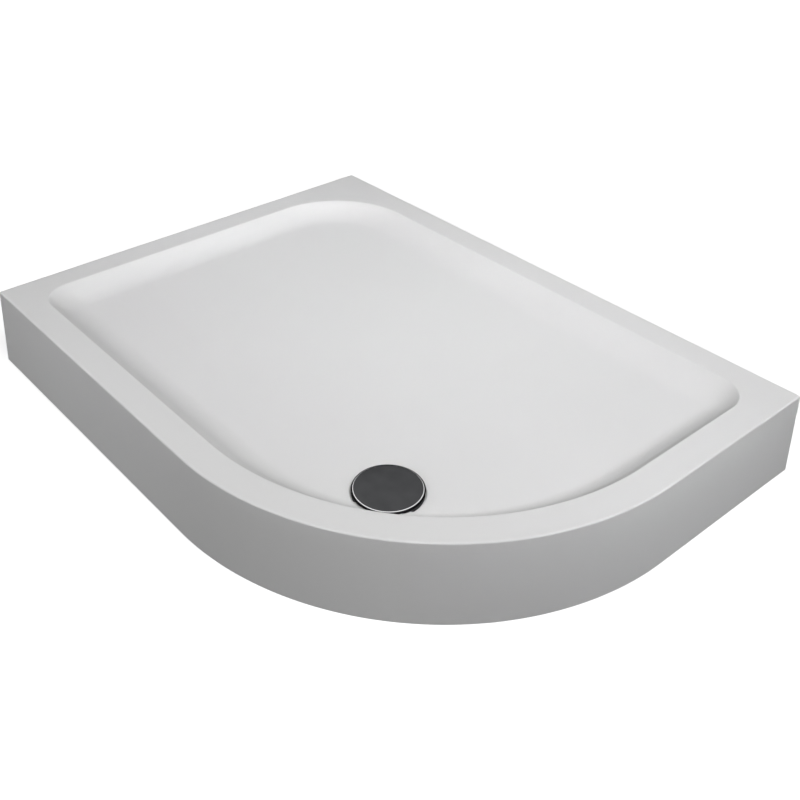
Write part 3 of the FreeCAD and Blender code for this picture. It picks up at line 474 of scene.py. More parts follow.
def basin_columns():
    """Each column of the basin as a start in plan and a step inward for each millimetre of inset."""
    edge = plan_ring(EDGE_INSET, EDGE_INSET, EDGE_CORNER, EDGE_BACK_CORNER)
    foot = plan_ring(FOOT_INSET, FOOT_INSET, FOOT_CORNER, FOOT_BACK_CORNER)
    return [(near, (far - near) / (FOOT_INSET - EDGE_INSET)) for near, far in zip(edge, foot)]


BASIN = basin_columns()


def basin_point(column, inset):
    start, step = BASIN[column]
    return start + step * (inset - EDGE_INSET)


def between(first, second, share):
    return tuple(a + (b - a) * share for a, b in zip(first, second))


def wall_sections():
    """Each column's slope and run of the basin wall, eased from one side to the next."""
    sections = []
    curve_swell = 1.2
    for step in range(CURVE_STEPS + 1):
        share = step / CURVE_STEPS
        side = between(FRONT_WALL, RIGHT_WALL, share * share * (3 - 2 * share))
        sections.append(between(side, CURVE_WALL, math.sin(math.pi * share) ** curve_swell))
    sections += [RIGHT_WALL] * (RIGHT_STEPS - 1)
    sections += [between(RIGHT_WALL, FAR_WALL, step / CORNER_STEPS) for step in range(CORNER_STEPS + 1)]
    sections += [FAR_WALL] * (REAR_STEPS + BACK_STEPS + LEFT_STEPS - 1)
    sections += [between(FAR_WALL, FRONT_WALL, step / CORNER_STEPS) for step in range(CORNER_STEPS + 1)]
    sections += [FRONT_WALL] * (FRONT_STEPS - 1)
    return [(math.radians(slope), run) for slope, run in sections]


WALLS = wall_sections()


def wall_foot(column, floor_z):
    """Inset at which the basin wall's hollow meets the floor."""
    slope, run = WALLS[column]
    full_hollow = (RIM_HEIGHT - floor_z) / math.tan(slope / 2)
    return RIM_WIDTH + min(run, full_hollow)


def wall_feet():
    """For each column, the inset and the height of the foot of the basin's wall."""
    feet = []
    rounds = 5
    for column in range(len(BASIN)):
        height = FLOOR_LOW
        for _ in range(rounds):
            inset = wall_foot(column, height)
            height = floor_height(*basin_point(column, inset))
        feet.append((inset, height))
    return feet


WALL_FEET = wall_feet()


def inner_corner(inset):
    """Plan radius of a square corner, drawn in by an inset."""
    return CORNER_RADIUS * CORNER_RADIUS / (CORNER_RADIUS + inset)


def level(ring, height):
    return [(point.x, point.y, height) for point in ring]


def tray_face(depth, low, window_low, margin=0.0, level_floor=False):
    """Rows of one face of the tray, a depth under its show face, from the skirt's foot to the floor."""
    lean = math.atan(SKIRT_LEAN)
    rows = []
    for height in (low, *SKIRT_ROWS, window_low, 0.5 * (window_low + SKIRT_TOP)):
        inset = (height - RIM_HEIGHT) * SKIRT_LEAN + depth / math.cos(lean)
        corner = inner_corner(depth)
        rows.append(level(plan_ring(inset, depth, corner, corner, margin), height))
    ease = max(OUTER_ROUND, depth + LEAST_ROUND)
    centre = ease * (1 - math.sin(lean)) / math.cos(lean)
    radius = ease - depth
    for step in range(ROUND_STEPS + 1):
        angle = lean + (math.pi / 2 - lean) * step / ROUND_STEPS
        wall_inset = ease - radius * math.cos(angle)
        corner = inner_corner(wall_inset)
        ring = plan_ring(centre - radius * math.cos(angle), wall_inset, corner, corner, margin)
        rows.append(level(ring, RIM_HEIGHT - ease + radius * math.sin(angle)))
    edge = max(INNER_ROUND, depth + LEAST_ROUND)
    flat_ends = [RIM_WIDTH - edge * math.tan(slope / 2) for slope, _ in WALLS]
    outer_row = rows[-1]
    for share in RIM_ROWS:
        row = []
        for column, (x, y, _) in enumerate(outer_row):
            place = Vector((x, y)).lerp(basin_point(column, flat_ends[column]), share)
            row.append((place.x, place.y, RIM_HEIGHT - depth))
        rows.append(row)
    for step in range(EDGE_STEPS + 1):
        row = []
        for column, (slope, _) in enumerate(WALLS):
            angle = slope * step / EDGE_STEPS
            place = basin_point(column, flat_ends[column] + (edge - depth) * math.sin(angle))
            row.append((place.x, place.y, RIM_HEIGHT - edge + (edge - depth) * math.cos(angle)))
        rows.append(row)
    for step in range(HOLLOW_STEPS + 1):
        row = []
        for column, (inset, foot) in enumerate(WALL_FEET):
            foot = FLOOR_LOW if level_floor else foot
            slope = WALLS[column][0]
            angle = slope * (1 - step / HOLLOW_STEPS)
            run = inset - RIM_WIDTH - (RIM_HEIGHT - foot) / math.tan(slope)
            hollow = run / math.tan(slope / 2)
            place = basin_point(column, inset - (hollow + depth) * math.sin(angle))
            row.append((place.x, place.y, foot + hollow - (hollow + depth) * math.cos(angle)))
        rows.append(row)
    return rows


def floor_rows(foot_row, depth, edge, level_floor=False):
    """Rows of the floor from the wall's foot to a circle round the waste."""
    waste = Vector((WASTE_X, WASTE_Y))
    rows = []
    for step in range(1, FLOOR_STEPS + 1):
        share = step / FLOOR_STEPS
        row = []
        for x, y, _ in foot_row:
            out = Vector((x, y)) - waste
            place = waste + out.lerp(out.normalized() * edge, share)
            height = FLOOR_LOW - depth if level_floor else floor_height(place.x, place.y) - depth
            row.append((place.x, place.y, height))
        rows.append(row)
    return rows


def round_waste(last_row, places):
    """Rows round the waste, each at a radius and at a height or, given as a drop, below the floor."""
    waste = Vector((WASTE_X, WASTE_Y))
    rows = []
    for radius, drop, height in places:
        row = []
        for x, y, z in last_row:
            place = waste + (Vector((x, y)) - waste).normalized() * radius
            row.append((place.x, place.y, height if drop is None else z - drop))
        rows.append(row)
    return rows


def join_faces(top_rows, under_rows):
    """One closed skin from a show face and an under face, open at the wall sides' windows."""
    shape = Shape()
    top = [shape.row(points) for points in top_rows]
    under = [shape.row(points) for points in under_rows]
    sill = 1 + len(SKIRT_ROWS)
    window = set(range(WINDOW_START, WINDOW_END))
    for rows in (top, under):
        for index in range(len(rows) - 1):
            shape.band(rows[index], rows[index + 1], skip=window if index < sill else ())
    shape.band(top[-1], under[-1])
    shape.band(top[0], under[0], skip=window)
    open_sides = set(range(len(top[0]))) - window
    shape.band(top[sill], under[sill], skip=open_sides)
    for column in (WINDOW_START, WINDOW_END):
        for index in range(sill):
            shape.faces.append((top[index][column], top[index + 1][column],
                                under[index + 1][column], under[index][column]))
    return shape


def recess_steps(radius, bottom, hole_turn):
    """Radius, drop and height of each row from the floor into the recess and to its hole's edge."""
    quarter = RECESS_EASE * (1 - math.cos(math.radians(45)))
    return [
        (radius + quarter, quarter, None),
        (radius, RECESS_EASE, None),
        (radius - quarter, None, bottom + quarter),
        (radius - RECESS_EASE, None, bottom),
        (HOLE_RADIUS + HOLE_LAND, None, bottom),
        (HOLE_RADIUS + HOLE_EASE, None, bottom),
        (HOLE_RADIUS, None, bottom + hole_turn),
    ]


def tray_shell():
    top = tray_face(0.0, 0.0, EDGE_LOW)
    top += floor_rows(top[-1], 0.0, RECESS_RADIUS + RECESS_EASE)
    top += round_waste(top[-1], recess_steps(RECESS_RADIUS, RECESS_Z, -HOLE_EASE))
    under = tray_face(ACRYLIC, 0.0, EDGE_LOW)
    outer = RECESS_RADIUS + ACRYLIC
    under += floor_rows(under[-1], ACRYLIC, outer + RECESS_EASE)
    under += round_waste(under[-1], recess_steps(outer, RECESS_Z - ACRYLIC, HOLE_EASE))
    return add_piece("acrylic_tray", join_faces(top, under), "tray", "acrylic", ["tray_shell"], 40.0)


tray_shell()


# Sprayed laminate: glue line, thickness, swells, lower edge, margin at the wall sides and waste hole
BOND = 0.2
LAMINATE = 3.0
SWELL_SIZE, SWELL = 17.0, 0.45
LAMINATE_LOW = 10.0
LAMINATE_MARGIN = 5.0
LAMINATE_HOLE = 66.2


def laminate_backing():
    """The sprayed layer behind the acrylic, uneven on the side that shows."""
    near = ACRYLIC + BOND
    far = near + LAMINATE
    sill = EDGE_LOW + LAMINATE_MARGIN
    top = tray_face(near, LAMINATE_LOW, sill, LAMINATE_MARGIN)
    top += floor_rows(top[-1], near, LAMINATE_HOLE)
    under = []
    for row in tray_face(far, LAMINATE_LOW, sill, LAMINATE_MARGIN, level_floor=True):
        uneven = []
        for point in row:
            place = Vector(point)
            swell = noise.noise_vector(place / SWELL_SIZE) * SWELL
            uneven.append(tuple(place + swell))
        under.append(uneven)
    under += floor_rows(under[-1], far, LAMINATE_HOLE, level_floor=True)
    return add_piece("sprayed_laminate", join_faces(top, under), "tray", "laminate",
                     ["glass_fibre_laminate"], 40.0)


laminate_backing()


# Turned, extruded and threaded shapes
def eased(corners, steps=4):
    """A closed section with each corner (across, along, rounding) turned into an arc."""
    count = len(corners)
    points = []
    for index, (r, z, ease) in enumerate(corners):
        here = Vector((r, z))
        if not ease:
            points.append((r, z))
            continue
        before = (Vector(corners[index - 1][:2]) - here).normalized()
        after = (Vector(corners[(index + 1) % count][:2]) - here).normalized()
        half = 0.5 * before.angle(after)
        reach = ease / math.tan(half)
        centre = here + (before + after).normalized() * (ease / math.sin(half))
        first = here + before * reach - centre
        last = here + after * reach - centre
        sweep = first.angle_signed(last)
        for step in range(steps + 1):
            spoke = first.copy()
            spoke.rotate(Matrix.Rotation(-sweep * step / steps, 2))
            points.append(tuple(centre + spoke))
    return points


def full_turn(steps):
    return [2 * math.pi * step / steps for step in range(steps)]


def circle(x, y, radius, height, steps):
    return [(x + radius * math.cos(a), y + radius * math.sin(a), height) for a in full_turn(steps)]


def turned(section, x, y, steps=96, shape=None, loop=True):
    """A section of radii and heights turned round an upright axis."""
    shape = shape or Shape()
    rows = [shape.row(circle(x, y, radius, height, steps)) for radius, height in section]
    shape.bands(rows, loop)
    return shape


def turned_along(section, x, z, steps=96, shape=None, loop=True, fluting=None):
    """A section of radii and distances turned round an axis along Y; fluting changes a radius by angle."""
    shape = shape or Shape()
    rows = []
    for radius, place in section:
        row = []
        for angle in full_turn(steps):
            reach = fluting(radius, place, angle) if fluting else radius
            row.append((x + reach * math.cos(angle), place, z + reach * math.sin(angle)))
        rows.append(shape.row(row))
    shape.bands(rows, loop)
    return shape


def extruded(outline, low, high, place, shape=None):
    """A closed outline carried from one distance to another; place puts each point in the tray's frame."""
    shape = shape or Shape()
    rows = [shape.row([place(across, along, step) for across, along in outline]) for step in (low, high)]
    shape.band(*rows)
    shape.cap(rows[0][::-1])
    shape.cap(rows[1])
    return shape


def upright_ribs(outline, thick, x, y, count, shape, turn=0.0):
    """Ribs of one outline, given as distances out and heights, spaced evenly round an upright axis."""
    for angle in full_turn(count):
        along = Vector((math.cos(angle + turn), math.sin(angle + turn)))
        aside = Vector((-along.y, along.x))

        def place(out, height, side):
            spot = along * out + aside * side
            return (x + spot.x, y + spot.y, height)

        extruded(outline, -0.5 * thick, 0.5 * thick, place, shape)
    return shape


def hexagon_nut(x, y, low, high, bore, shape):
    """A hexagon 19 mm across flats with its corners chamfered and a bore through it."""
    flats, steps, slope = 19.0, 72, math.tan(math.radians(30))
    land = 0.47 * flats
    corner_steps = steps // 6
    top, upper, lower, bottom = [], [], [], []
    for step, angle in enumerate(full_turn(steps)):
        turn = math.radians(60.0 * (step % corner_steps) / corner_steps - 30.0)
        reach = 0.5 * flats / math.cos(turn)
        drop = (reach - land) * slope
        for row, radius, height in ((top, land, high), (upper, reach, high - drop),
                                    (lower, reach, low + drop), (bottom, land, low)):
            row.append((x + radius * math.cos(angle), y + radius * math.sin(angle), height))
    rows = [shape.row(row) for row in (top, upper, lower, bottom)]
    mouth = 0.9
    inside = [(bore + mouth, low), (bore, low + mouth), (bore, high - mouth), (bore + mouth, high)]
    for radius, height in inside:
        rows.append(shape.row(circle(x, y, radius, height, steps)))
    shape.bands(rows, loop=True)


def threaded_rod(x, y, low, high, radius, pitch, shape):
    """A rod with a real helical thread, run out at both ends."""
    steps, depth = 32, 0.61 * pitch
    profile = ((0.0, radius), (0.125, radius), (0.4375, radius - depth), (0.6875, radius - depth))
    run_out = 1.2
    turns = int((high - low - 2 * run_out) / pitch) - 1
    rows = []
    for turn in range(turns + 1):
        for share, reach in profile:
            row = []
            for step, angle in enumerate(full_turn(steps)):
                height = low + run_out + pitch * (turn + share + step / steps)
                row.append((x + reach * math.cos(angle), y + reach * math.sin(angle), height))
            rows.append(shape.row(row))
            if turn == turns:
                break
    joint = len(profile)
    for index in range(len(rows) - 1):
        first, second = rows[index], rows[index + 1]
        shape.band(first, second, closed=False)
        ahead = index + joint
        if ahead + 1 < len(rows):
            shape.faces.append((first[-1], rows[ahead][0], rows[ahead + 1][0], second[-1]))
    seat = radius - depth
    ends = [shape.row(circle(x, y, seat, height, steps)) for height in (low, high)]
    first, last = rows[0], rows[-1]
    shape.band(ends[0], first, closed=False)
    shape.band(last, ends[1], closed=False)
    jog = [rows[index][0] for index in range(joint + 1)]
    shape.faces.append((ends[0][-1], ends[0][0], *jog, first[-1]))
    back_jog = [rows[index][-1] for index in range(len(rows) - 1, len(rows) - joint - 2, -1)]
    shape.faces.append((last[0], ends[1][0], ends[1][-1], *back_jog))
    shape.cap(ends[0][::-1])
    shape.cap(ends[1])


# Waste cover
def waste_cover():
    """The domed cover: a stepped ring, painted bright in its finish as a highlight, rounded edge, turned
    down lip and a thin wall under it.
    """
    edge = COVER_RADIUS
    lip_low, edge_z, rise, thick = 119.5, 123.2, 2.8, 1.6
    line_drop, edge_drop = 0.75, 1.2
    dome = (edge * edge + rise * rise) / (2 * rise)
    crown = edge_z + rise
    face = COVER_LINE - LINE_HALF
    face_steps, edge_steps = 24, 8
    section = []
    for step in range(face_steps + 1):
        radius = face * step / face_steps
        section.append((radius, crown - radius * radius / (2 * dome)))
    start, shoulder = COVER_LINE + LINE_HALF, section[-1][1] - line_drop
    section.append((start, shoulder))
    for step in range(1, edge_steps + 1):
        angle = math.radians(90 - 90 * step / edge_steps)
        section.append((start + (edge - start) * math.cos(angle),
                        shoulder - edge_drop * (1 - math.sin(angle))))
    section += [(edge, lip_low + 0.5), (edge - 0.2, lip_low + 0.1), (edge - 0.6, lip_low),
                (edge - thick + 0.3, lip_low + 0.1), (edge - thick, lip_low + 0.5)]
    inner = edge - thick
    for step in range(face_steps, -1, -1):
        radius = inner * step / face_steps
        section.append((radius, crown - thick - radius * radius / (2 * dome)))
    return add_piece("domed_waste_cover", turned(section, WASTE_X, WASTE_Y, 160, loop=False),
                     "cover", "cover_chrome", ["waste_cover"], 50.0)


def cover_carrier():
    """The moulded cross under the cover, with the stem that plugs into the insert."""
    reach, low, high = 46.0, 117.0, 122.35
    shape = turned(eased([
        (0.0, 101.0, 0), (4.0, 101.0, 1.0), (4.0, low, 0),
        (7.0, low, 0.6), (7.0, 124.2, 0.6), (0.0, 124.2, 0),
    ]), WASTE_X, WASTE_Y, 48, loop=False)
    upright_ribs([(0.5, low), (reach, low), (reach, high - 2.0), (reach - 4.0, high), (0.5, high)],
                 3.0, WASTE_X, WASTE_Y, 4, shape)
    return add_piece("cover_cross", shape, "cover", "insert_plastic", ["cover_carrier"], 35.0, 0.35)


# Insert and its sealing ring
def trap_insert():
    """The lift-out dip tube with its head, hub and spokes."""
    shape = turned(eased([
        (29.0, 31.0, 0.6), (31.5, 31.0, 0.6), (31.5, 100.0, 0), (35.7, 100.0, 0.6), (35.7, 103.3, 0.2),
        (33.4, 103.3, 0), (33.4, 106.7, 0), (35.7, 106.7, 0.2), (35.7, 110.0, 0.8), (29.0, 110.0, 0.8),
    ]), WASTE_X, WASTE_Y)
    turned(eased([
        (4.15, 98.0, 0.3), (7.15, 98.0, 0.6), (7.15, 110.0, 0.6), (4.15, 110.0, 0.3),
    ]), WASTE_X, WASTE_Y, 48, shape)
    upright_ribs([(6.0, 100.0), (29.6, 100.0), (29.6, 109.6), (18.0, 107.5), (6.0, 109.6)],
                 3.0, WASTE_X, WASTE_Y, 4, shape)
    return add_piece("dip_tube_insert", shape, "insert", "insert_plastic", ["trap_insert"], 35.0, 0.3)


def insert_ring():
    low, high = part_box("insert_ring")
    tube = 0.5 * (high.z - low.z) * METRE
    radius = 0.5 * (high.x - low.x) * METRE - tube
    centre = middle("insert_ring")
    section = [(radius + tube * math.cos(a), centre.z + tube * math.sin(a)) for a in full_turn(20)]
    return add_piece("insert_seal_ring", turned(section, centre.x, centre.y), "insert", "seal_rubber",
                     ["insert_ring"], 60.0)


# Waste flange, seals and trap
def flat_ring(name, node, ease):
    """A flat rubber ring with eased edges, in the CAD ring's place; its bore is the waste's."""
    low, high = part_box(node)
    centre = middle(node)
    outer = 0.5 * (high.x - low.x) * METRE
    clearance = 0.2
    bore = HOLE_RADIUS + clearance
    bottom, top = low.z * METRE, high.z * METRE
    section = eased([(bore, bottom, ease), (outer, bottom, ease), (outer, top, ease), (bore, top, ease)], 3)
    return add_piece(name, turned(section, centre.x, centre.y), "tray", "seal_rubber", [node], 60.0)


def waste_flange():
    section = eased([
        (32.0, 92.0, 0.5), (40.0, 92.0, 0.8), (40.0, 114.5, 0.4), (56.0, 114.5, 0.4), (56.0, 117.0, 1.1),
        (36.0, 117.0, 0.8), (36.0, 100.0, 0.5), (32.0, 100.0, 0.6),
    ])
    return add_piece("clamping_flange", turned(section, WASTE_X, WASTE_Y, 120), "tray", "flange_plastic",
                     ["waste_flange"], 40.0)


TRAP_AXIS_Z = 70.0
OUTLET_END = WASTE_Y + 100.0


def trap_body():
    """The upper trap with its flange, gussets and side outlet."""
    ring = turned(eased([
        (46.0, 42.0, 0), (50.4, 42.0, 0.5), (50.4, 43.6, 0.5), (49.0, 44.6, 0.5), (49.0, 102.0, 1.5),
        (58.0, 102.0, 0.6), (58.0, 106.0, 0.8), (40.15, 106.0, 0.4), (40.15, 91.0, 0.5), (46.0, 87.0, 0.5),
    ]), WASTE_X, WASTE_Y, 120)
    made = mesh_object("trap_upper", ring)
    tube = turned_along([(0.0, WASTE_Y + 47.0), (24.0, WASTE_Y + 47.0), (24.0, OUTLET_END - 0.6),
                         (23.4, OUTLET_END), (0.0, OUTLET_END)], WASTE_X, TRAP_AXIS_Z, 96, loop=False)
    carve(made, tube, "UNION")
    way = turned_along([(0.0, WASTE_Y + 36.0), (18.0, WASTE_Y + 36.0), (18.0, OUTLET_END - 35.0),
                        (20.2, OUTLET_END - 35.0), (20.2, OUTLET_END + 5.0), (0.0, OUTLET_END + 5.0)],
                       WASTE_X, TRAP_AXIS_Z, 96, loop=False)
    carve(made, way, "DIFFERENCE")
    count = 12
    gussets = upright_ribs([(48.0, 93.0), (49.2, 93.0), (56.5, 101.0), (56.5, 102.5), (48.0, 102.5)],
                           2.0, WASTE_X, WASTE_Y, count, Shape(), math.pi / count)
    carve(made, gussets, "UNION")
    return dress(made, "tray", "trap_plastic", ["trap_body"], 32.0)


def trap_bottom():
    """The cup under the trap, with its half of the welded collar."""
    shape = turned(eased([
        (0.0, 22.0, 0), (45.0, 22.0, 1.5), (49.0, 26.0, 2.0), (49.0, 39.4, 0.5), (50.4, 40.4, 0.5),
        (50.4, 42.0, 0.5), (46.0, 42.0, 0), (46.0, 25.0, 2.0), (0.0, 25.0, 0),
    ]), WASTE_X, WASTE_Y, 120, loop=False)
    return add_piece("trap_cup", shape, "tray", "trap_plastic", ["trap_bottom"], 32.0)


def outlet_nut():
    """The union nut on the outlet, fluted for the hand."""
    start, end, outer = OUTLET_END - 16.0, OUTLET_END + 8.0, 31.0
    lugs, flute_depth, flute_ramp, smooth_under = 18, 1.7, 1.5, 29.0
    flute_start, flute_end = start + 2.0, end - 5.0

    def flutes(radius, place, angle):
        if radius < smooth_under:
            return radius
        wave = 0.5 + 0.5 * math.cos(lugs * angle)
        rise = min(max((place - flute_start) / flute_ramp, 0.0), 1.0)
        fall = min(max((flute_end - place) / flute_ramp, 0.0), 1.0)
        return radius - flute_depth * rise * fall * (1.0 - min(1.0, 2.2 * wave))

    section = [
        (24.3, start + 0.4), (24.7, start), (outer - 0.6, start), (outer, start + 0.6),
        (outer, flute_start), (outer, flute_start + flute_ramp), (outer, start + 9.0),
        (outer, flute_end - flute_ramp), (outer, flute_end), (outer, end - 2.0),
        (outer - 0.6, end - 0.8), (smooth_under, end), (21.6, end), (21.0, end - 0.5),
        (21.0, end - 3.0), (24.3, end - 3.0),
    ]
    shape = turned_along(section, WASTE_X, TRAP_AXIS_Z, 216, fluting=flutes)
    return add_piece("fluted_outlet_nut", shape, "tray", "trap_plastic", ["outlet_nut"], 32.0)


def outlet_seal():
    section = eased([
        (20.7, OUTLET_END + 0.1, 0.5), (24.0, OUTLET_END + 0.1, 0.5),
        (24.0, OUTLET_END + 4.9, 0.5), (20.7, OUTLET_END + 4.9, 0.5),
    ], 3)
    return add_piece("outlet_ring", turned_along(section, WASTE_X, TRAP_AXIS_Z), "tray", "seal_rubber",
                     ["outlet_seal"], 60.0)


# Rails, their fasteners and the feet
SCREW_STEP, SCREW_HOLE, FOOT_HOLE = 32.0, 2.7, 6.5
WEB_LOW = 90.6
NUT_HEIGHT = 10.0
STUD_RADIUS, THREAD_PITCH, THREAD_CLEARANCE = 5.9, 1.75, 0.05


def leg_rail(side):
    """A folded steel channel, open below, with its holes for the feet and screws."""
    node = side + "_leg_rail"
    low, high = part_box(node)
    centre = middle(node)
    section = eased([
        (-20.0, -20.0, 0.5), (-20.0, 0.0, 3.0), (20.0, 0.0, 3.0), (20.0, -20.0, 0.5),
        (18.0, -20.0, 0.5), (18.0, -2.0, 1.0), (-18.0, -2.0, 1.0), (-18.0, -20.0, 0.5),
    ])
    top = high.z * METRE
    made = mesh_object(side + "_channel", extruded(
        section, low.y * METRE, high.y * METRE, lambda x, z, y: (centre.x + x, y, top + z)))
    holes = Shape()
    cut_low, cut_high = top - 6.0, top + 4.0
    for end in ("front", "back"):
        foot = middle(f"{side}_{end}_foot_pad")
        for step, radius in ((-SCREW_STEP, SCREW_HOLE), (0.0, FOOT_HOLE), (SCREW_STEP, SCREW_HOLE)):
            turned([(0.0, cut_low), (radius, cut_low), (radius, cut_high), (0.0, cut_high)],
                   foot.x, foot.y + step, 40, holes, loop=False)
    carve(made, holes, "DIFFERENCE")
    return dress(made, "tray", "galvanised_steel", [node], 30.0, 0.3)


def rail_screws():
    """Pan head screws with a cross recess, heads down in the rails."""
    shape = Shape()
    steps = 24
    # Radii and heights from the rail's web; the recess has its scale in place of a radius
    outside = ((2.5, 14.0), (2.5, 0.0), (5.0, 0.0), (5.0, -1.2), (4.6, -2.2), (3.6, -2.85), (3.0, -3.0))
    recess = ((1.0, -3.0), (0.75, -1.6))
    cross = (2.6, 2.3, 1.2, 0.85, 1.2, 2.3)
    for foot in FEET:
        centre = middle(foot + "_foot_pad")
        for step in (-SCREW_STEP, SCREW_STEP):
            x, y = centre.x, centre.y + step
            rows = [shape.row(circle(x, y, radius, WEB_LOW + height, steps)) for radius, height in outside]
            for scale, height in recess:
                row = []
                for index, angle in enumerate(full_turn(steps)):
                    reach = scale * cross[index % len(cross)]
                    row.append((x + reach * math.cos(angle), y + reach * math.sin(angle), WEB_LOW + height))
                rows.append(shape.row(row))
            shape.bands(rows)
            shape.cap(rows[0])
            shape.cap(rows[-1])
    return add_piece("rail_screw_set", shape, "tray", "zinc_steel", ["rail_screws"], 35.0)


def foot_nuts(name, node, low):
    shape = Shape()
    for foot in FEET:
        centre = middle(foot + "_foot_pad")
        hexagon_nut(centre.x, centre.y, low, low + NUT_HEIGHT, STUD_RADIUS + THREAD_CLEARANCE, shape)
    return add_piece(name, shape, "tray", "zinc_steel", [node], 25.0)


def foot_stud(foot):
    """A threaded stud with its hexagon collar and plain end in the pad."""
    node = foot + "_foot_stud"
    low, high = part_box(node)
    centre = middle(node)
    bottom, top = low.z * METRE, high.z * METRE
    collar_low, collar_high, collar_bore = bottom + 11.0, bottom + 19.0, 4.0
    overlap = 0.5
    end_top = collar_low + overlap
    shape = Shape()
    threaded_rod(centre.x, centre.y, collar_high - overlap, top, STUD_RADIUS, THREAD_PITCH, shape)
    hexagon_nut(centre.x, centre.y, collar_low, collar_high, collar_bore, shape)
    turned(eased([(0.0, bottom, 0), (STUD_RADIUS, bottom, 1.5), (STUD_RADIUS, end_top, 0),
                  (0.0, end_top, 0)]), centre.x, centre.y, 40, shape, loop=False)
    return add_piece(foot + "_threaded_foot", shape, foot + "_stud", "zinc_steel", [node], 28.0)


def foot_pad(foot):
    """A moulded swivel pad, hollow below, with ribs up to its neck."""
    node = foot + "_foot_pad"
    centre = middle(node)
    shape = turned(eased([
        (0.0, 0.4, 0), (21.0, 0.4, 0.2), (21.0, 0.0, 0), (25.0, 0.0, 0.8), (25.0, 3.5, 1.2),
        (15.0, 8.4, 2.0), (11.2, 14.0, 0.8), (6.2, 14.0, 0.5), (6.2, 5.0, 0), (0.0, 5.0, 0),
    ]), centre.x, centre.y, 72, loop=False)
    upright_ribs([(10.5, 8.0), (22.5, 3.0), (23.6, 3.9), (23.6, 5.2), (12.0, 13.2), (10.5, 13.2)],
                 1.8, centre.x, centre.y, 8, shape)
    return add_piece(foot + "_swivel_pad", shape, foot + "_pad", "foot_plastic", [node], 35.0)


waste_cover()
cover_carrier()
trap_insert()
insert_ring()
flat_ring("upper_flat_seal", "upper_seal", 0.4)
flat_ring("lower_flat_seal", "lower_seal", 0.7)
waste_flange()
trap_body()
trap_bottom()
outlet_nut()
outlet_seal()
for side in ("left", "middle", "right"):
    leg_rail(side)
rail_screws()
foot_nuts("weld_nut_set", "weld_nuts", WEB_LOW - NUT_HEIGHT)
foot_nuts("lock_nut_set", "lock_nuts", WEB_LOW - 2 * NUT_HEIGHT)
for foot in FEET:
    foot_stud(foot)
    foot_pad(foot)

# CAD nodes that stay get their finish here
for row in frame["record"]["subparts"]:
    kept = bpy.data.objects.get(row["node"])
    if kept is not None and kept.type == "MESH":
        kept.data.materials.clear()
        kept.data.materials.append(FINISHES[row["material_slot"]])


# Studio: floor, world, lamps and camera
def studio_floor():
    """A pale floor just under the tray, white far off and clear from below."""
    mesh = bpy.data.meshes.new("studio_floor")
    reach, steps, drop = 14.0, 28, 0.3
    work = bmesh.new()
    bmesh.ops.create_grid(work, x_segments=steps, y_segments=steps, size=reach)
    work.to_mesh(mesh)
    work.free()
    floor = bpy.data.objects.new("studio_floor", mesh)
    floor.location.z = -drop / METRE
    bpy.context.collection.objects.link(floor)
    finish = Finish("studio_floor", Roughness=1.0, Specular_IOR_Level=0.0)
    seen = seen_by(finish)
    far = finish.vector("LENGTH", finish.point, output="Value")
    glow = finish.ramp(0.1 * far, (0.06, (0.5, 0.5, 0.5)), (0.3, (1.0, 1.0, 1.0)))
    finish.set("Base Color", finish.mix(seen, (0.07, 0.07, 0.07), (0.86, 0.86, 0.86)))
    finish.set("Emission Color", finish.mix(seen, (0.0, 0.0, 0.0), glow))
    finish.set("Emission Strength", 1.0)
    finish.set("Alpha", 1.0 - finish.node("ShaderNodeNewGeometry", output="Backfacing"))
    mesh.materials.append(finish.material)


def studio_world():
    """Faint light from all round, and white where it is seen."""
    world = bpy.data.worlds.new("studio")
    world.use_nodes = True
    bpy.context.scene.world = world
    nodes = Nodes(world.node_tree)
    seen = seen_by(nodes)
    background = world.node_tree.nodes["Background"]
    nodes.feed(background.inputs["Color"], (1.0, 1.0, 1.0))
    ambient = 0.03
    nodes.feed(background.inputs["Strength"], ambient + (1.0 - ambient) * seen)


def softbox(name, azimuth, elevation, distance, size, power, aim=(0.0, 0.0, 0.0), spread=180.0):
    """A flat lamp that faces the tray; a grid on it narrows its spread, in degrees."""
    lamp = bpy.data.lights.new(name, "AREA")
    lamp.shape = "RECTANGLE"
    lamp.energy = power
    lamp.size, lamp.size_y = size
    lamp.spread = math.radians(spread)
    made = bpy.data.objects.new(name, lamp)
    bpy.context.collection.objects.link(made)
    a, e = math.radians(azimuth), math.radians(elevation)
    back = Vector((math.sin(a) * math.cos(e), -math.cos(a) * math.cos(e), math.sin(e)))
    facing = back.to_track_quat("Z", "Y").to_matrix().to_4x4()
    made.matrix_world = Matrix.Translation(Vector(aim) + back * distance) @ facing


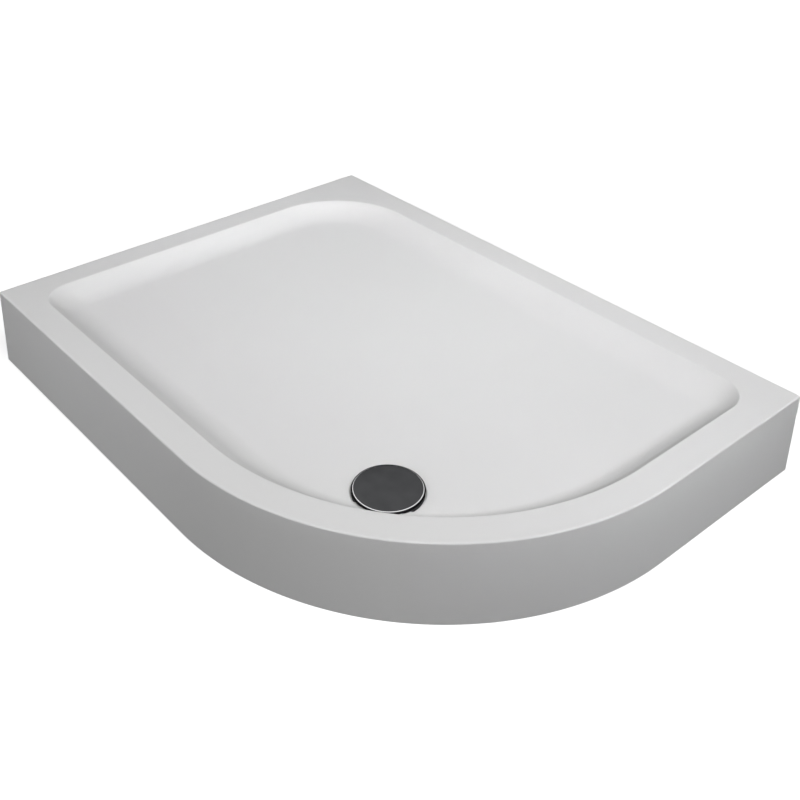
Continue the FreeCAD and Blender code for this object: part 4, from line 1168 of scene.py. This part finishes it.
def photo_camera():
    """The camera fitted to the tray's outline; the lens and its shift are in the photo's pixels."""
    photo_width, focal, shift_x, shift_y = 800, 1003.149, 33.409, 3.525
    azimuth, elevation, roll = math.radians(49.6571), math.radians(36.1192), math.radians(0.378)
    distance, target = 1.909234, Vector((-0.0186248, 0.0085058, 0.0))
    back = Vector((math.sin(azimuth) * math.cos(elevation), -math.cos(azimuth) * math.cos(elevation),
                   math.sin(elevation)))
    right = Vector((math.cos(azimuth), math.sin(azimuth), 0.0))
    up = back.cross(right)
    rolled_right = math.cos(roll) * right + math.sin(roll) * up
    rolled_up = math.cos(roll) * up - math.sin(roll) * right
    lens = bpy.data.cameras.new("photo_camera")
    lens.sensor_width = 36.0
    lens.lens = lens.sensor_width * focal / photo_width
    lens.shift_x = shift_x / photo_width
    lens.shift_y = shift_y / photo_width
    camera = bpy.data.objects.new("photo_camera", lens)
    bpy.context.collection.objects.link(camera)
    place = Matrix((rolled_right, rolled_up, back)).transposed().to_4x4()
    place.translation = target + back * distance
    camera.matrix_world = place
    bpy.context.scene.camera = camera


studio_floor()
studio_world()
BOX_DISTANCE, BOX_SIZE = 4.0, (1.2, 1.2)
softbox("right_key", 105.0, 55.0, BOX_DISTANCE, BOX_SIZE, 37.6)
softbox("corner_key", 45.0, 55.0, BOX_DISTANCE, BOX_SIZE, 30.7)
softbox("high_key", 75.0, 68.0, BOX_DISTANCE, BOX_SIZE, 34.1)
softbox("front_fill", 345.0, 26.0, BOX_DISTANCE, BOX_SIZE, 23.2)
# Gridded boxes for the basin's far walls
GRID_SIZE, GRID_AIM, GRID_SPREAD = (0.6, 0.6), (-0.3, 0.2, 0.1), 22.0
softbox("right_grid", 90.0, 32.0, BOX_DISTANCE, GRID_SIZE, 1.0, GRID_AIM, GRID_SPREAD)
softbox("front_grid", 0.0, 32.0, BOX_DISTANCE, GRID_SIZE, 0.29, GRID_AIM, GRID_SPREAD)
# Low strips for the wall sides' edges
STRIP_DISTANCE, STRIP_SIZE = 2.6, (1.6, 0.12)
softbox("back_strip", 180.0, 1.5, STRIP_DISTANCE, STRIP_SIZE, 30.0)
softbox("left_strip", 270.0, 1.5, STRIP_DISTANCE, STRIP_SIZE, 30.0)
photo_camera()
bpy.context.scene.view_settings.view_transform = "Standard"
